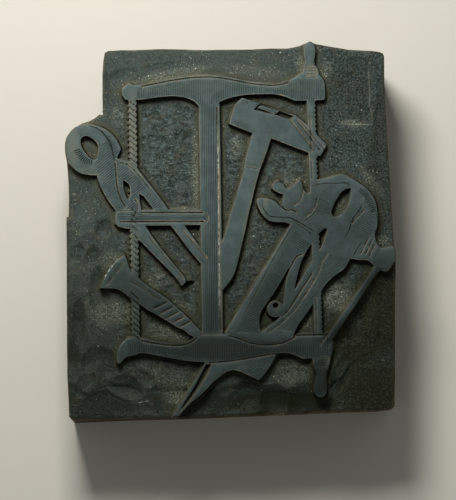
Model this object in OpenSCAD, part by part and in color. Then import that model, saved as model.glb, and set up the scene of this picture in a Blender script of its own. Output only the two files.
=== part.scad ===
// Wood engraver's printing block: end-grain boxwood strips, glued edge to edge with loose tongues,
// with the picture standing at full height on the upper face.
// The frame has +X to the right of the picture, +Y to its head and +Z out of the printing face.
// The origin is the middle of the block's box, on the face that it rests on.

/* [Block] */
// Height of the block from its base to the printing face, which is the height of metal type
type_high = 23.56; // [22:0.01:25]
// Depth of the cleared ground below the printing face, among the tools of the picture
ground_drop = 1.5; // [1:0.1:2]
// Depth of the ground along the margins below the printing face
margin_drop = 2.1; // [2:0.1:3]
// Slope of the margins, down towards the edges of the block, in degrees
margin_slope = 8; // [4:1:12]

/* [Strips] */
// Place of the glued joint between the head strip and the middle strip
upper_joint = 2.9; // [1:0.1:4]
// Place of the glued joint between the middle strip and the foot strip
lower_joint = -28; // [-29:0.1:-27]
// Thickness of the loose tongues
tongue_thick = 3; // [2:0.1:4]
// Reach of a tongue into each of its two strips
tongue_reach = 4; // [3:0.1:5]
// Height of the middle of the tongues above the base
tongue_level = 10.5; // [9:0.1:13]
// Room for glue past each edge of a tongue
glue_room = 0.3; // [0.1:0.1:0.5]

/* [Picture] */
// Width of the engraved lines that part one tool from another
line_width = 0.28; // [0.2:0.01:0.32]
// Depth of the engraved lines
line_depth = 0.4; // [0.3:0.05:0.8]
// Depth of the hollows inside the hammer's eye and along the lower blade's back
pit_depth = 1; // [0.6:0.1:1.3]
// Pitch of the teeth on the bow saw's blade
tooth_pitch = 0.95; // [0.9:0.01:1.05]
// Depth of the teeth on the bow saw's blade
tooth_depth = 0.32; // [0.2:0.01:0.4]
// Pitch of the twist in the bow saw's cord
twist_pitch = 1.15; // [1:0.01:1.3]
// Depth of the hollows that the twist leaves along the cord's edges
twist_depth = 0.22; // [0.1:0.01:0.3]
// Pitch of the thread on the wood screw, along its length
thread_pitch = 1.55; // [1.5:0.01:1.7]
// Radius of the stop hole in the inner corner of the notch
stop_hole_r = 0.42; // [0.3:0.01:0.6]

/* [Hidden] */

wood = [0.31, 0.34, 0.31];
tongue_wood = [0.72, 0.58, 0.36];

// The picture is drawn about its own middle, and the box of the block lies this far from it
picture_shift = [0.05, -1.2];
// Past every edge of the block
far = 50;
// Segments from one point of a smooth outline to the next
curve_steps = 3;
ground_level = type_high - ground_drop;
margin_level = type_high - margin_drop;
// The relief goes down into the ground, also where a gouge has passed
root_level = type_high - 5;
// Past the printing face, for cuts that open through it
above = 1;
// The foot side's edge on the base: its place, and its two slants in degrees
foot_line = -35.15;
foot_skew = 1.75;
foot_lean = 3.8;

// Smooth curve through the points p, with both ends kept
function bend(p, n = curve_steps) = concat(
    [for (i = [0:len(p) - 2], k = [0:n - 1]) between(
        p[max(i - 1, 0)], p[i], p[i + 1], p[min(i + 2, len(p) - 1)], k / n)],
    [p[len(p) - 1]]);

// Smooth closed curve through the points p
function ring(p, n = curve_steps) = let (m = len(p))
    [for (i = [0:m - 1], k = [0:n - 1]) between(
        p[(i + m - 1) % m], p[i], p[(i + 1) % m], p[(i + 2) % m], k / n)];

// Point at t from b to c on the curve that also passes a and d
function between(a, b, c, d, t) =
    0.5 * (2 * b + (c - a) * t + (2 * a - 5 * b + 4 * c - d) * t * t
           + (3 * b - a - 3 * c + d) * t * t * t);

// Points beside the curve p, at the distance w to its left
function beside(p, w) = [for (i = [0:len(p) - 1]) let (
    d = p[min(i + 1, len(p) - 1)] - p[max(i - 1, 0)])
    p[i] + w * [-d.y, d.x] / norm(d)];

function backwards(p) = [for (i = [len(p) - 1:-1:0]) p[i]];

// Band of the width w along the curve p
module ribbon(p, w = line_width) {
    polygon(concat(beside(p, w / 2), backwards(beside(p, -w / 2))));
}

// Straight band from a to b
module rule(a, b, w = line_width) {
    ribbon([a, b], w);
}

// Outline of the block, seen from above

foot_edge = [[-32.3, -36.5], [-25, -36.55], [-18, -36.7], [-6, -36.7], [4, -36.4],
             [14, -36.05], [22, -35.7], [28, -35.5], [31.7, -35.2]];
right_edge = [[32.35, -34.7], [32.55, -30], [32.65, -22], [32.8, -14], [33, -8], [33.05, -5.2],
              [32.95, -3.6], [32.7, -1.5], [32.5, 4], [32.05, 13], [31.6, 23], [31.35, 31],
              [31.4, 36]];
head_edge = [[31.2, 36.75], [30.5, 37.05], [29, 37.3], [24, 37.6], [20.5, 38.2], [18, 38.75],
             [17.2, 39], [16.4, 39.1], [15.6, 38.95], [14, 38.4], [12, 38], [5, 37.85],
             [-5, 37.85], [-14, 38.05], [-20, 37.95], [-24.4, 37.85], [-25.1, 37.5]];
notch_edge = [[-25.4, 36], [-25.6, 33], [-25.65, 29], [-25.6, 25.6], [-26.4, 24.75],
              [-27.2, 24.1], [-28.4, 23.45], [-29.8, 23.05]];
// Round the pincers' jaws and down to the upper joint
jaw_edge = [[-31, 22.35], [-32.2, 21.2], [-32.9, 20.1], [-33.15, 18.5], [-33.15, 17],
            [-32.9, 15.5], [-32.7, 13.5], [-32.5, 10.5], [-32.45, 7.5], [-32.6, 4.1]];
left_edge = [[-33, 4.1], [-33, -26.8], [-32.75, -33], [-32.65, -36.1]];
stop_hole = [-25.85, 25.15];

module block_outline() {
    difference() {
        polygon(concat(foot_edge, right_edge, head_edge, notch_edge, jaw_edge, left_edge));
        translate(stop_hole)
            circle(r = stop_hole_r, $fn = 24);
    }
}

// The bow saw

module top_arm() {
    polygon(concat(
        bend([[-21.5, 28.3], [-21.6, 29.6], [-20.8, 30.4], [-20.05, 30.85], [-19.1, 30.4]]),
        bend([[-18, 30.4], [-14.5, 31.1], [-11, 31.8], [-7, 32.3], [-3, 32.3], [0.5, 31.75],
              [4, 31], [8, 30.5], [10.5, 30.6], [12.5, 31.3], [14.4, 32.5]]),
        bend([[18.1, 32.2], [19, 31], [19.25, 29.3], [19.25, 27.6], [19, 27]]),
        bend([[13.1, 26.9], [11.6, 27.6], [9.6, 28.2], [7, 28.35], [3, 28.2], [0, 27.6],
              [-2.05, 26.8]]),
        bend([[-6.15, 25.9], [-6.9, 26.85], [-8.3, 27.6], [-10, 28], [-12, 28.1], [-15, 27.85],
              [-18, 27.45], [-20.9, 27.5]])));
}

module post() {
    polygon([[-6.15, 27], [-5.95, -20.6], [-1.75, -20.6], [-1.95, 22], [-2.05, 27]]);
}

module bottom_arm() {
    polygon(concat(
        bend([[-22.8, -25.7], [-22.9, -23.8], [-22.4, -22.3], [-21.4, -21.1], [-20.2, -20.4],
              [-18.4, -20.45], [-16, -21.1], [-13.5, -21.6], [-11, -21.85], [-9.3, -21.7],
              [-8, -21], [-6.9, -20.2], [-5.95, -19.9]]),
        bend([[-1.6, -20], [0.3, -20.2], [2.5, -21.1], [5, -21.85], [7.3, -22.05], [9.6, -21.8],
              [11.4, -21.2], [12.6, -20.5], [13.8, -20.1]]),
        bend([[19.3, -20.1], [20.1, -21.2], [20.2, -22.6], [19.6, -25]]),
        bend([[15.6, -25], [14.2, -25.1], [13, -24.6], [11.8, -24.1], [10.3, -23.9], [9, -24.05],
              [7, -24.3], [4, -24.8], [0, -25.4], [-3, -25.65], [-7, -25.5], [-10, -25.15],
              [-13, -24.55], [-16, -23.95], [-18, -23.6], [-19.2, -24], [-20.4, -24.2],
              [-21.4, -24.6], [-22.2, -25.6]])));
}

module top_knob() {
    polygon(bend([[14.4, 31.6], [14.8, 32.8], [15.1, 34.2], [15.35, 35], [15.15, 36.2],
                  [15.15, 37.6], [15.55, 38.5], [16.35, 39], [17, 38.6], [17.4, 37.4], [17.3, 36],
                  [17.15, 35], [17.3, 34.3], [17.9, 33.3], [18.1, 32.5], [18.3, 31.6]]));
}

module bottom_knob() {
    polygon(bend([[16, -24.6], [16.1, -26.3], [16.5, -27.5], [16.8, -28.4], [16.4, -29.8],
                  [16.15, -31.2], [16.5, -32.3], [17.6, -32.8], [18.5, -32.3], [18.8, -31],
                  [18.7, -29.2], [18.8, -28], [19.2, -26.8], [19.5, -25.6], [19.6, -24.6]]));
}

// Middle of the saw's blade at the height y of the picture, since the blade leans a little
function blade_middle(y) = 16.89 - 0.018 * y;
blade_half = 0.78;
blade_top = 27.2;
blade_foot = -20.4;
teeth = floor((blade_top - blade_foot) / tooth_pitch);

module saw_blade() {
    polygon(concat(
        [[blade_middle(blade_foot) - blade_half, blade_foot],
         [blade_middle(blade_top) - blade_half, blade_top]],
        [for (i = [0:teeth - 1]) let (y = blade_top - i * tooth_pitch, x = blade_middle(y) + blade_half)
            each [[x - tooth_depth / 2, y], [x + tooth_depth / 2, y - 0.3 * tooth_pitch],
                  [x - tooth_depth / 2, y - 0.95 * tooth_pitch]]],
        [[blade_middle(blade_foot) + blade_half, blade_foot]]));
}

// Cord of twisted strands, whose edges swell and draw in by turns on the two sides
cord_half = 0.86;
cord_top = 27.6;
cord_foot = -20.6;
cord_steps = 6;

function cord_middle(y) = -19.31 - 0.0077 * y;

function cord_swell(i, side) =
    cord_half - twist_depth * pow(sin(180 * i / cord_steps + 45 * side), 2);

function cord_edge(side) = [for (i = [0:floor((cord_top - cord_foot) / twist_pitch * cord_steps)])
    let (y = cord_top - i * twist_pitch / cord_steps)
    [cord_middle(y) + side * cord_swell(i, side), y]];

module cord() {
    polygon(concat(cord_edge(-1), backwards(cord_edge(1))));
}

module toggle() {
    polygon([[-23.05, 4.8], [-22.7, 5.05], [-18, 5.1], [-5, 4.95], [-4.6, 2.7], [-5.2, 1.95],
             [-17.5, 1.9], [-19.8, 1.25], [-21.3, 1.45], [-22.4, 1.75], [-23.05, 2.3]]);
}

// The hammer

hammer_eye = [[4.9, 25.15], [5.6, 26.05], [6.3, 26.35], [13, 23.75], [12.2, 23.05], [9, 24.15]];
handle_end = [[5.6, 25.55], [6.3, 26.05], [10, 24.75], [9.1, 24.25]];

module hammer_head() {
    polygon(concat(
        bend([[2.65, 27.6], [1.6, 26.7], [0.9, 25.5], [0.4, 24.1], [-0.05, 22.35]]),
        [[4.6, 20.4], [8.3, 19.35], [16, 16.25], [18.1, 15.6], [19.45, 17.9], [15.3, 22.2],
         [13.4, 23.9]]));
}

module hammer_handle() {
    polygon(concat(
        bend([[4.7, 20.8], [3.7, 17.6], [3.1, 15], [2.6, 12.4], [1.8, 9.8], [0.8, 6.6],
              [-0.2, 3.6], [-1, 0.8], [-2, -2]]),
        bend([[-1.95, -11.35], [-0.9, -10.2], [0.1, -8.9], [0.9, -7.1], [1.5, -4.9], [2.2, -2],
              [2.9, 0.8], [3.5, 3.7], [4.3, 6.8], [5.1, 10], [5.9, 12.7], [7.1, 15.8],
              [8.4, 19.6]])));
}

// The pincers

jaw_eye = [[-29.9, 19.6], [-29.3, 20.15], [-28.3, 20.1], [-27.3, 19.4], [-26.6, 18.5],
           [-26.4, 17.4], [-26.6, 16.3], [-26.9, 15.35], [-27.7, 15.4], [-28.6, 16.2],
           [-29.5, 17.4], [-29.95, 18.6]];
leg_gap = [[-21.5, 11], [-20.9, 10.8], [-20.3, 10.2], [-20, 9.1], [-20.1, 8], [-20.55, 7.2],
           [-21, 8], [-21.4, 9.4]];

module pincers_jaws() {
    difference() {
        polygon(concat(
            bend([[-26.75, 12.2], [-27.8, 12.25], [-29.3, 12.45], [-30.6, 13], [-31.8, 14.1],
                  [-32.7, 15.5], [-33.1, 17.1], [-33.1, 18.7], [-32.6, 20.3], [-31.5, 21.7],
                  [-30, 22.4], [-28.2, 22.5], [-26.4, 22.15], [-24.8, 21.4], [-23.5, 20.3],
                  [-22.5, 18.9], [-21.9, 17.45]]),
            [[-22.7, 15.8]],
            bend([[-22.4, 15.4], [-21, 15.2], [-19.8, 14.7], [-18.7, 13.6], [-17.4, 11.9],
                  [-15.8, 9.8], [-14.1, 7.5], [-12.3, 4.9]]),
            bend([[-15.4, 5], [-16.3, 6.4], [-17.3, 7.7], [-18.3, 8.5]]),
            [[-18.2, 6.8], [-17.8, 4.9]],
            bend([[-22.9, 4.9], [-23.9, 6.2], [-25, 7.9], [-26.1, 10.1], [-26.75, 12.2]])));
        polygon(ring(jaw_eye));
        polygon(ring(leg_gap));
    }
}

module pincers_legs() {
    polygon(concat(
        bend([[-17.2, 2], [-15, -1.3], [-12, -5.2], [-10, -7.7], [-9, -9.1]]),
        bend([[-9.2, -9.6], [-9.6, -10], [-10, -10.3]]),
        bend([[-10.3, -9.6], [-11.6, -8], [-13.5, -6], [-15.45, -4], [-17.36, -2],
              [-18.4, -0.9]]),
        [[-20.1, 2]]));
    polygon([[-12.1, 2], [-9.4, 2], [-6.5, -2], [-4.5, -4.9], [-4.7, -5.6], [-6, -5.9],
             [-8.5, -2.9], [-10.5, -0.05]]);
}

// The wood screw

screw_axis = [0.79, -0.613];
thread_start = [-14.2, -14.1];
thread_turns = 5;
thread_way = [0.89, 0.455];
thread_half = 1.45;

module wood_screw() {
    polygon(concat(
        bend([[-21.25, -3.9], [-22.6, -4.9], [-23.95, -6.3], [-25, -7.8], [-25.7, -9.3],
              [-26.1, -10.55]]),
        bend([[-25, -10.6], [-23.6, -10.65], [-22.4, -10.95], [-21.2, -11.75], [-20, -12.75],
              [-18.4, -13.8], [-16.8, -15], [-15, -16], [-13, -17.2], [-11.2, -18.4],
              [-9.5, -19.2], [-8.3, -20.2], [-7.2, -20.6]]),
        [[-5.8, -20.6]],
        bend([[-6.2, -19.4], [-8, -17.4], [-9.4, -16], [-11, -14.5], [-13, -12.7],
              [-15.5, -11], [-17.3, -9.7], [-18.7, -8.5]]),
        bend([[-20, -7.6], [-20.5, -6.2], [-20.8, -5]])));
}

// The hand vice

jaw_gap = [[20.15, 4.1], [20.4, 5], [20.8, 6], [21.4, 7.1], [22.2, 8.2], [23.2, 8.9],
           [24, 9.1], [24.25, 8.7], [24.1, 7.8], [23.8, 6.6], [23.3, 5.2], [22.6, 4.2],
           [21.7, 3.5], [20.8, 3.3]];
leg_slot = [[18.9, 1], [18.3, 0.6], [17.3, -0.4], [16, -2.1], [14.9, -4], [14.1, -5.4],
            [13.5, -7.4], [13, -9.2], [12.6, -11.1], [13, -10.8], [14.3, -8.6], [15.8, -6.1],
            [17.3, -4], [18.2, -2.4], [18.9, -0.6], [19.3, 0.8]];
spring_slot = [[11.4, -7], [10.6, -8.5], [9.4, -10.4], [8.2, -12.3], [6.9, -14.1],
               [5.9, -15.6], [5.5, -17], [5.6, -18.6], [5.95, -19.6], [7.3, -18.6], [8.6, -17.7],
               [9.7, -16.6], [10.2, -14.5], [10.4, -13], [10.65, -11.5], [10.8, -10],
               [11.05, -8.8], [11.6, -7.4]];
scroll_middle = [8.75, -15.1];
scroll_r = 1.65;
scroll_eye = [8.8, -14.4];
scroll_eye_r = 0.58;

module vice_outline() {
    polygon(concat(
        bend([[10.6, 7.9], [9.6, 8.3], [8.6, 8.9], [8.45, 9.7], [9, 10.5], [9.8, 10.65],
              [10.6, 10.1], [10.95, 9.3], [11.4, 8.95]]),
        bend([[12, 9.3], [12.8, 9.9], [13.3, 10.5], [13.9, 10.8], [14.3, 10.3], [14.5, 9.3],
              [14.9, 8.6], [15.4, 8.2], [15.9, 8.3], [16.1, 9.2], [16.6, 10.3], [17.3, 10.8],
              [18.8, 11.05], [20.5, 11.55], [22, 11.85], [23, 11.8], [24.2, 11.15],
              [25.6, 10.25], [27, 9.2], [28.1, 8], [28.9, 6.6], [29.35, 4.9], [29.4, 3],
              [29.3, 1.2], [28.85, 0], [29, -1.6], [29.9, -2.9], [31, -3.1], [32, -2.75],
              [32.7, -3], [33, -3.9], [32.95, -5], [32.4, -6.1], [31.2, -7.75], [30.2, -7.7],
              [28.8, -6.9], [27.9, -6], [27.2, -5.5], [25.6, -5.5], [24.6, -5.25],
              [23.8, -5.2]]),
        bend([[23.4, -5.9], [22.5, -7.3], [21.2, -8.1], [19.9, -9.2], [18.8, -10.3],
              [17.8, -11.8], [16.3, -14.1], [14.3, -16.9], [13.2, -18.4], [11.8, -21.3]]),
        [[8, -22.6], [4, -22.5], [0, -21], [-1.8, -20.4]],
        bend([[-1.4, -19.8], [0.5, -16.6], [3.4, -12.1], [6.2, -7.5], [8.9, -3.3], [11, 0.3],
              [12, 1.9]]),
        bend([[11, 2.3], [9.5, 2.4], [8.2, 2.5], [7.2, 3], [6.2, 4.2], [5.6, 5.4], [5.25, 6.8],
              [5.9, 7.2], [7.2, 7.15], [8.6, 6.75], [9.5, 6], [10.1, 5.2]]),
        [[10.6, 7.5]]));
}

module hand_vice() {
    difference() {
        vice_outline();
        polygon(ring(jaw_gap));
        polygon(ring(leg_slot, 2));
        difference() {
            polygon(ring(spring_slot, 2));
            translate(scroll_middle)
                circle(r = scroll_r, $fn = 48);
        }
        translate(scroll_eye)
            circle(r = scroll_eye_r, $fn = 32);
    }
}

module scriber() {
    polygon([[28.6, -6.7], [19, -20.4], [20.2, -21.3], [29.7, -7.5]]);
}

// The blade whose end shows below the bow saw

module lower_blade() {
    polygon(concat(
        [[-5.2, -25.5], [-12.15, -36.6], [-11.2, -36.6]],
        bend([[-9.6, -35], [-8.3, -33.6], [-6.9, -32.6], [-5.5, -31.3], [-4, -29.8],
              [-2.6, -28.5], [-1.2, -27.6], [0.1, -27.25], [1.4, -27.5], [3, -28.2],
              [5.25, -29.3]]),
        bend([[6.2, -28.4], [7.3, -26.9], [8.2, -25.5], [9, -23.9]])));
}

// Channel cut between the blade's back and its face
blade_channel = [[-5.25, -26.05], [-4.15, -26.05], [-4.95, -28], [-6.15, -30], [-7.5, -32],
                 [-8.5, -33.2], [-9.6, -34.4], [-10.6, -35.5], [-9.4, -33.2], [-8.55, -32],
                 [-7.3, -30], [-6.3, -28.1]];

// Lines engraved in the picture

module saw_lines() {
    ribbon(bend([[-17.6, 30.1], [-14.5, 30.7], [-11, 31.35], [-7, 31.85], [-3, 31.85],
                 [0.5, 31.3], [4, 30.55], [8, 30.1], [10.5, 30.2], [12, 30.7]]));
    ribbon(bend([[-18, -21.2], [-15, -21.8], [-12.5, -22.15], [-10.5, -22.2], [-8.8, -21.9],
                 [-7.6, -21.2], [-6.8, -20.6]]));
    ribbon(bend([[-0.3, -20.4], [1.5, -21], [3.5, -21.8], [5.5, -22.2], [7.3, -22.3],
                 [9.2, -22.15], [11, -21.6], [12.6, -20.8]]));
    ribbon(bend([[-5.2, -25.75], [-3, -25.65], [0, -25.4], [4, -24.8], [7, -24.3],
                 [8.8, -24.05]]));
    rule([-2.5, 25.8], [-2.25, -19.3], 0.34);
    rule([-6.2, -20], [-1.1, -19.95], 0.2);
    rule([-22.9, 5], [-19.4, 5], 0.2);
    rule([-18, 4.55], [-5.4, 4.4]);
    rule([-22.3, 2.75], [-5.3, 2.6]);
    ribbon(bend([[-5.3, 2.2], [-4.75, 2.7], [-4.65, 3.5], [-4.95, 4.3]]), 0.2);
    rule([12.9, -20.45], [18.9, -20.4]);
    for (y = [31.7, 32.4, 33.1, 33.6, 34.15])
        rule([15.4, y], [17.6, y], 0.22);
    for (y = [-24.9, -25.45, -26, -26.55])
        rule([16.6, y], [19.2, y], 0.22);
    rule([blade_middle(blade_top - 3) - 0.3, blade_top - 3],
         [blade_middle(16.5) - 0.3, 16.5], 0.2);
    rule([blade_middle(15) - 0.3, 15], [blade_middle(11) - 0.3, 11], 0.2);
    rule([blade_middle(-13) - 0.3, -13], [blade_middle(-19.8) - 0.3, -19.8], 0.2);
}

module pincers_lines() {
    ribbon(bend([[-23.1, 14.9], [-22.95, 12.5], [-22.8, 10.5], [-22.5, 8.9], [-21.9, 7.2],
                 [-21, 5.7]]));
    ribbon(bend([[-22.2, 14.6], [-21.2, 14.55], [-20, 13.9], [-18.7, 12.6], [-17.2, 10.7],
                 [-15.6, 8.6]]), 0.24);
    ribbon(bend([[-19.2, 7.4], [-18.6, 6.3], [-18.7, 5.2], [-19.3, 3.9]]), 0.24);
    rule([-16.4, -0.3], [-9.6, -8.9], 0.24);
    rule([-9.6, 0.9], [-4.9, -4.8], 0.24);
}

module screw_lines() {
    ribbon(bend([[-21.5, -5.4], [-22.3, -6.6], [-23, -7.4]]), 0.24);
    ribbon(bend([[-23.6, -8.2], [-24.3, -9.1], [-25, -9.95]]), 0.24);
    for (i = [0:thread_turns - 1])
        let (p = thread_start + i * thread_pitch * screw_axis, r = thread_half - 0.07 * i)
            rule(p - r * thread_way, p + r * thread_way);
    ribbon(bend([[-20, -9.3], [-18.2, -10.3], [-16, -11.8], [-14, -13.1]]), 0.22);
}

module vice_lines() {
    ribbon(bend([[10.3, 5.5], [10.8, 4.95], [11.5, 4.65], [12.4, 4.8], [13.2, 4.3]]));
    ribbon(bend([[14.4, 9.2], [14.4, 8.1], [14.1, 7.1], [13.5, 6.3], [12.7, 5.8]]), 0.24);
    ribbon(bend([[17.3, 7.1], [17.1, 5.9], [16.6, 4.9], [15.9, 4.1], [15.2, 3.5]]), 0.24);
    ribbon(bend([[14.2, -4.2], [13.3, -4.5], [12.6, -5.4], [12, -6.5], [11.5, -7.3]]));
    ribbon(bend([[16.2, -7.9], [15.6, -8.9], [14.8, -10.1], [13.9, -11.4], [13, -12.8],
                 [12, -14.4], [11, -15.7], [10, -16.6]]));
    ribbon(bend([[19.3, -4.1], [18.3, -5.4], [17.8, -6.6], [17.3, -8], [16.4, -9.6],
                 [15.2, -11.5], [13.9, -13.5], [12.5, -15.4], [10.9, -16.9], [9, -18.6],
                 [7.3, -19.7]]), 0.24);
    ribbon(bend([[26.8, 4.7], [25.9, 3.7], [25, 2.9], [24.3, 2]]), 0.24);
    rule([27.7, -0.7], [25.8, -4.3], 0.24);
    rule([28.4, -1.2], [26.8, -4.4], 0.24);
    rule([28.8, -2.2], [27.5, -4.9], 0.24);
    rule([29.3, -8], [19, -22.9], 0.24);
    rule([28.25, -7.2], [17.5, -22.4], 0.24);
}

module hammer_lines() {
    rule([3.1, 13.7], [5.9, 13.1], 0.24);
    rule([13.6, 22.9], [18.1, 16.7], 0.24);
    rule([14.3, 22.7], [18.9, 17.2], 0.2);
    rule([12.2, 22.9], [17, 16.6], 0.2);
}

// The whole picture, as it stands on the printing face

module picture() {
    top_arm();
    post();
    bottom_arm();
    top_knob();
    bottom_knob();
    saw_blade();
    cord();
    toggle();
    hammer_head();
    hammer_handle();
    pincers_jaws();
    pincers_legs();
    wood_screw();
    hand_vice();
    scriber();
    lower_blade();
}

module engraved_lines() {
    saw_lines();
    pincers_lines();
    screw_lines();
    vice_lines();
    hammer_lines();
}

// Hollows inside the tools that go deeper than a line
module pits() {
    polygon(blade_channel);
    difference() {
        polygon(hammer_eye);
        polygon(handle_end);
    }
}

module relief() {
    difference() {
        translate([0, 0, root_level])
            linear_extrude(type_high - root_level)
                picture();
        translate([0, 0, type_high - line_depth])
            linear_extrude(line_depth + above)
                engraved_lines();
        translate([0, 0, type_high - pit_depth])
            linear_extrude(pit_depth + above)
                pits();
    }
}

// The ground

// Ground that falls away from the line at the distance from the middle of the picture towards
// the heading, in degrees, where it is the drop below the face
module margin_cut(heading, distance, drop, slope = margin_slope) {
    rotate(heading)
        translate([distance, 0, type_high - drop])
            rotate([0, slope, 0])
                translate([0, -far, 0])
                    cube([far, 2 * far, far / 2]);
}

// Channel that a gouge of the radius r leaves as it runs out from p, deeper as it goes
module gouge_cut(p, heading, r = 5, dive = 5, drop = ground_drop) {
    translate([p.x, p.y, type_high - drop + r * cos(dive)])
        rotate([0, 90 + dive, heading])
            cylinder(r = r, h = 30, $fn = 48);
}

// Runs of the gouge over the margins: where each starts, its heading, radius and dive
gouge_runs = [[[-28.5, 1], 205, 6, 4], [[-27, -4.5], 190, 5, 5], [[-27.5, -10.5], 200, 7, 4],
              [[-27.5, -17], 185, 6, 5], [[-26, -22.5], 215, 7, 5], [[-24, -27.5], 235, 6, 6],
              [[-18, -27.5], 250, 5, 6], [[-13, -29.5], 262, 4, 6], [[8, -31], 280, 6, 7],
              [[14, -33.5], 275, 5, 8], [[0, -31], 268, 6, 6], [[24, -19], 300, 8, 6],
              [[23, -27], 310, 8, 5]];

// Flat that a chisel has cleared beside the saw's upper arm: it starts level with the ground at
// its left and goes down towards its right edge
cleared_flat = [[20, 22.4], [28.8, 22.2], [28.85, 24.8], [28.1, 26.8], [28.15, 36], [20, 36.4]];
cleared_slope = 5.5;

module ground() {
    difference() {
        linear_extrude(ground_level)
            block_outline();
        margin_cut(0, 29.5, margin_drop);
        margin_cut(90, 33.5, ground_drop, 4);
        margin_cut(270, 30.5, margin_drop);
        margin_cut(315, 35.5, margin_drop, margin_slope + 2);
        margin_cut(180, 28.5, ground_drop, 5);
        for (g = gouge_runs)
            gouge_cut(g[0], g[1], g[2], g[3]);
        intersection() {
            linear_extrude(far)
                polygon(cleared_flat);
            translate([cleared_flat[0].x, 0, ground_level])
                rotate([0, cleared_slope, 0])
                    translate([0, -far, 0])
                        cube([far, 2 * far, far]);
        }
    }
}

// The foot side was sawn out of square, so it draws in towards the base
module foot_batter() {
    translate([0, foot_line, 0])
        rotate([foot_lean, 0, foot_skew])
            translate([-far, -far, -far])
                cube([2 * far, far, 2 * far]);
}

module carved_block() {
    translate(picture_shift)
        difference() {
            union() {
                ground();
                relief();
            }
            foot_batter();
        }
}

// Part of the block from one joint to the next
module between_joints(low, high) {
    intersection() {
        carved_block();
        translate([-far, low, -1])
            cube([2 * far, high - low, type_high + 2]);
    }
}

// Groove for a tongue in the joint at y, with the room for glue
module groove(y) {
    translate([-far, y - tongue_reach - glue_room, tongue_level - tongue_thick / 2])
        cube([2 * far, 2 * (tongue_reach + glue_room), tongue_thick]);
}

// Loose tongue in the joint at y, cut flush with the sides of the block
module tongue(y) {
    intersection() {
        translate(picture_shift)
            linear_extrude(type_high)
                block_outline();
        translate([-far, y - tongue_reach, tongue_level - tongue_thick / 2])
            cube([2 * far, 2 * tongue_reach, tongue_thick]);
    }
}

module head_strip() {
    color(wood)
        difference() {
            between_joints(upper_joint, far);
            groove(upper_joint);
        }
}

module middle_strip() {
    color(wood)
        difference() {
            between_joints(lower_joint, upper_joint);
            groove(upper_joint);
            groove(lower_joint);
        }
}

module foot_strip() {
    color(wood)
        difference() {
            between_joints(-far, lower_joint);
            groove(lower_joint);
        }
}

module upper_tongue() {
    color(tongue_wood)
        tongue(upper_joint);
}

module lower_tongue() {
    color(tongue_wood)
        tongue(lower_joint);
}

head_strip();
middle_strip();
foot_strip();
upper_tongue();
lower_tongue();
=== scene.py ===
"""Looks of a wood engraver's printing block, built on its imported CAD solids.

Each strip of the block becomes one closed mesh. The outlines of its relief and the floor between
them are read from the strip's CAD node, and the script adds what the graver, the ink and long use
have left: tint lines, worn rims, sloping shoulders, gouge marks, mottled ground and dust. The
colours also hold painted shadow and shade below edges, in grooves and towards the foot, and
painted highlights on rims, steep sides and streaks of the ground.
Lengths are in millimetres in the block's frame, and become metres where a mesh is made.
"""

import logging
import math
from dataclasses import dataclass, field
from enum import Enum
from typing import ClassVar

import bmesh
import bpy
import numpy as np
from mathutils import Matrix, Vector
from mathutils.bvhtree import BVHTree
from mathutils.geometry import delaunay_2d_cdt


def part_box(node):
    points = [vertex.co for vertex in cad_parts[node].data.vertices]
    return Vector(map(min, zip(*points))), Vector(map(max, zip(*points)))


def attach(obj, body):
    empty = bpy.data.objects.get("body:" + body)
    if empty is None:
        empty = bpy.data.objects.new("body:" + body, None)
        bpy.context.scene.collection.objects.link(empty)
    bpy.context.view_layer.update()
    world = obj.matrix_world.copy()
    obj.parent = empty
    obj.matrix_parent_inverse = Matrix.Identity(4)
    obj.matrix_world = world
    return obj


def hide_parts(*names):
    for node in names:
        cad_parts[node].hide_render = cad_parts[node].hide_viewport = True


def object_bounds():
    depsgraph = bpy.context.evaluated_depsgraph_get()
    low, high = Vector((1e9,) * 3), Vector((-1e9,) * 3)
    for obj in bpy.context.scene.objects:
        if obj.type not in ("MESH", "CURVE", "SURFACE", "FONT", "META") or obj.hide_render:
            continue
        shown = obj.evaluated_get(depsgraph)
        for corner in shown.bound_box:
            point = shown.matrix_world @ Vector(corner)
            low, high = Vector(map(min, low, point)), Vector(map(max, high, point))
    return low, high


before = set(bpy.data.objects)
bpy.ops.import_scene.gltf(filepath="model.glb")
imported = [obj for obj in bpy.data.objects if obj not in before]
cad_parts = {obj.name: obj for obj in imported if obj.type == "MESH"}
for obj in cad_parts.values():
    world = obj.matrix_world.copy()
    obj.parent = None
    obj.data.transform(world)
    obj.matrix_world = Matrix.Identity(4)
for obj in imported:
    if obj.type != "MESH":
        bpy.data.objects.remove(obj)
CAD_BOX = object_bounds()

MM = 0.001
# The picture's outlines are drawn about its own middle, this far from the middle of the block
PICTURE_SHIFT = np.array([0.05, -1.2])
FACE = CAD_BOX[1][2] / MM
LOG = logging.getLogger("printing_block")

# Depths below the printing face: past OPEN the CAD's surface is open ground, the carved ground is
# never shallower than SHALLOWEST, and a cut line's bottom lies between the two of CUT_BOTTOM
OPEN = 1.3
SHALLOWEST = 0.9
CUT_BOTTOM = (0.1, 0.8)
# Depth of the ground that stands in where the CAD's surface is missed
USUAL = 2.2

Points = np.ndarray
Spot = tuple[float, float]
Line = list[Spot]
Node = bpy.types.Node
Socket = bpy.types.NodeSocket
Tree = bpy.types.NodeTree
Mesh = bpy.types.Mesh
Piece = bpy.types.Object


class Joint(Enum):
    """The glued joints between the strips, by the tongue that lies in each."""

    UPPER = "upper_tongue"
    LOWER = "lower_tongue"

    @property
    def place(self) -> float:
        """Where along the block the joint lies."""
        low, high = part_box(self.value)
        return (low[1] + high[1]) / 2 / MM


JOINT_PLACES = [joint.place for joint in Joint]


def along_joint(a: Points, b: Points, slack: float = 0.02) -> bool:
    """Whether the edge from a to b lies in one of the glued joints."""
    return any(abs(a[1] - y) < slack and abs(b[1] - y) < slack for y in JOINT_PLACES)


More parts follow.
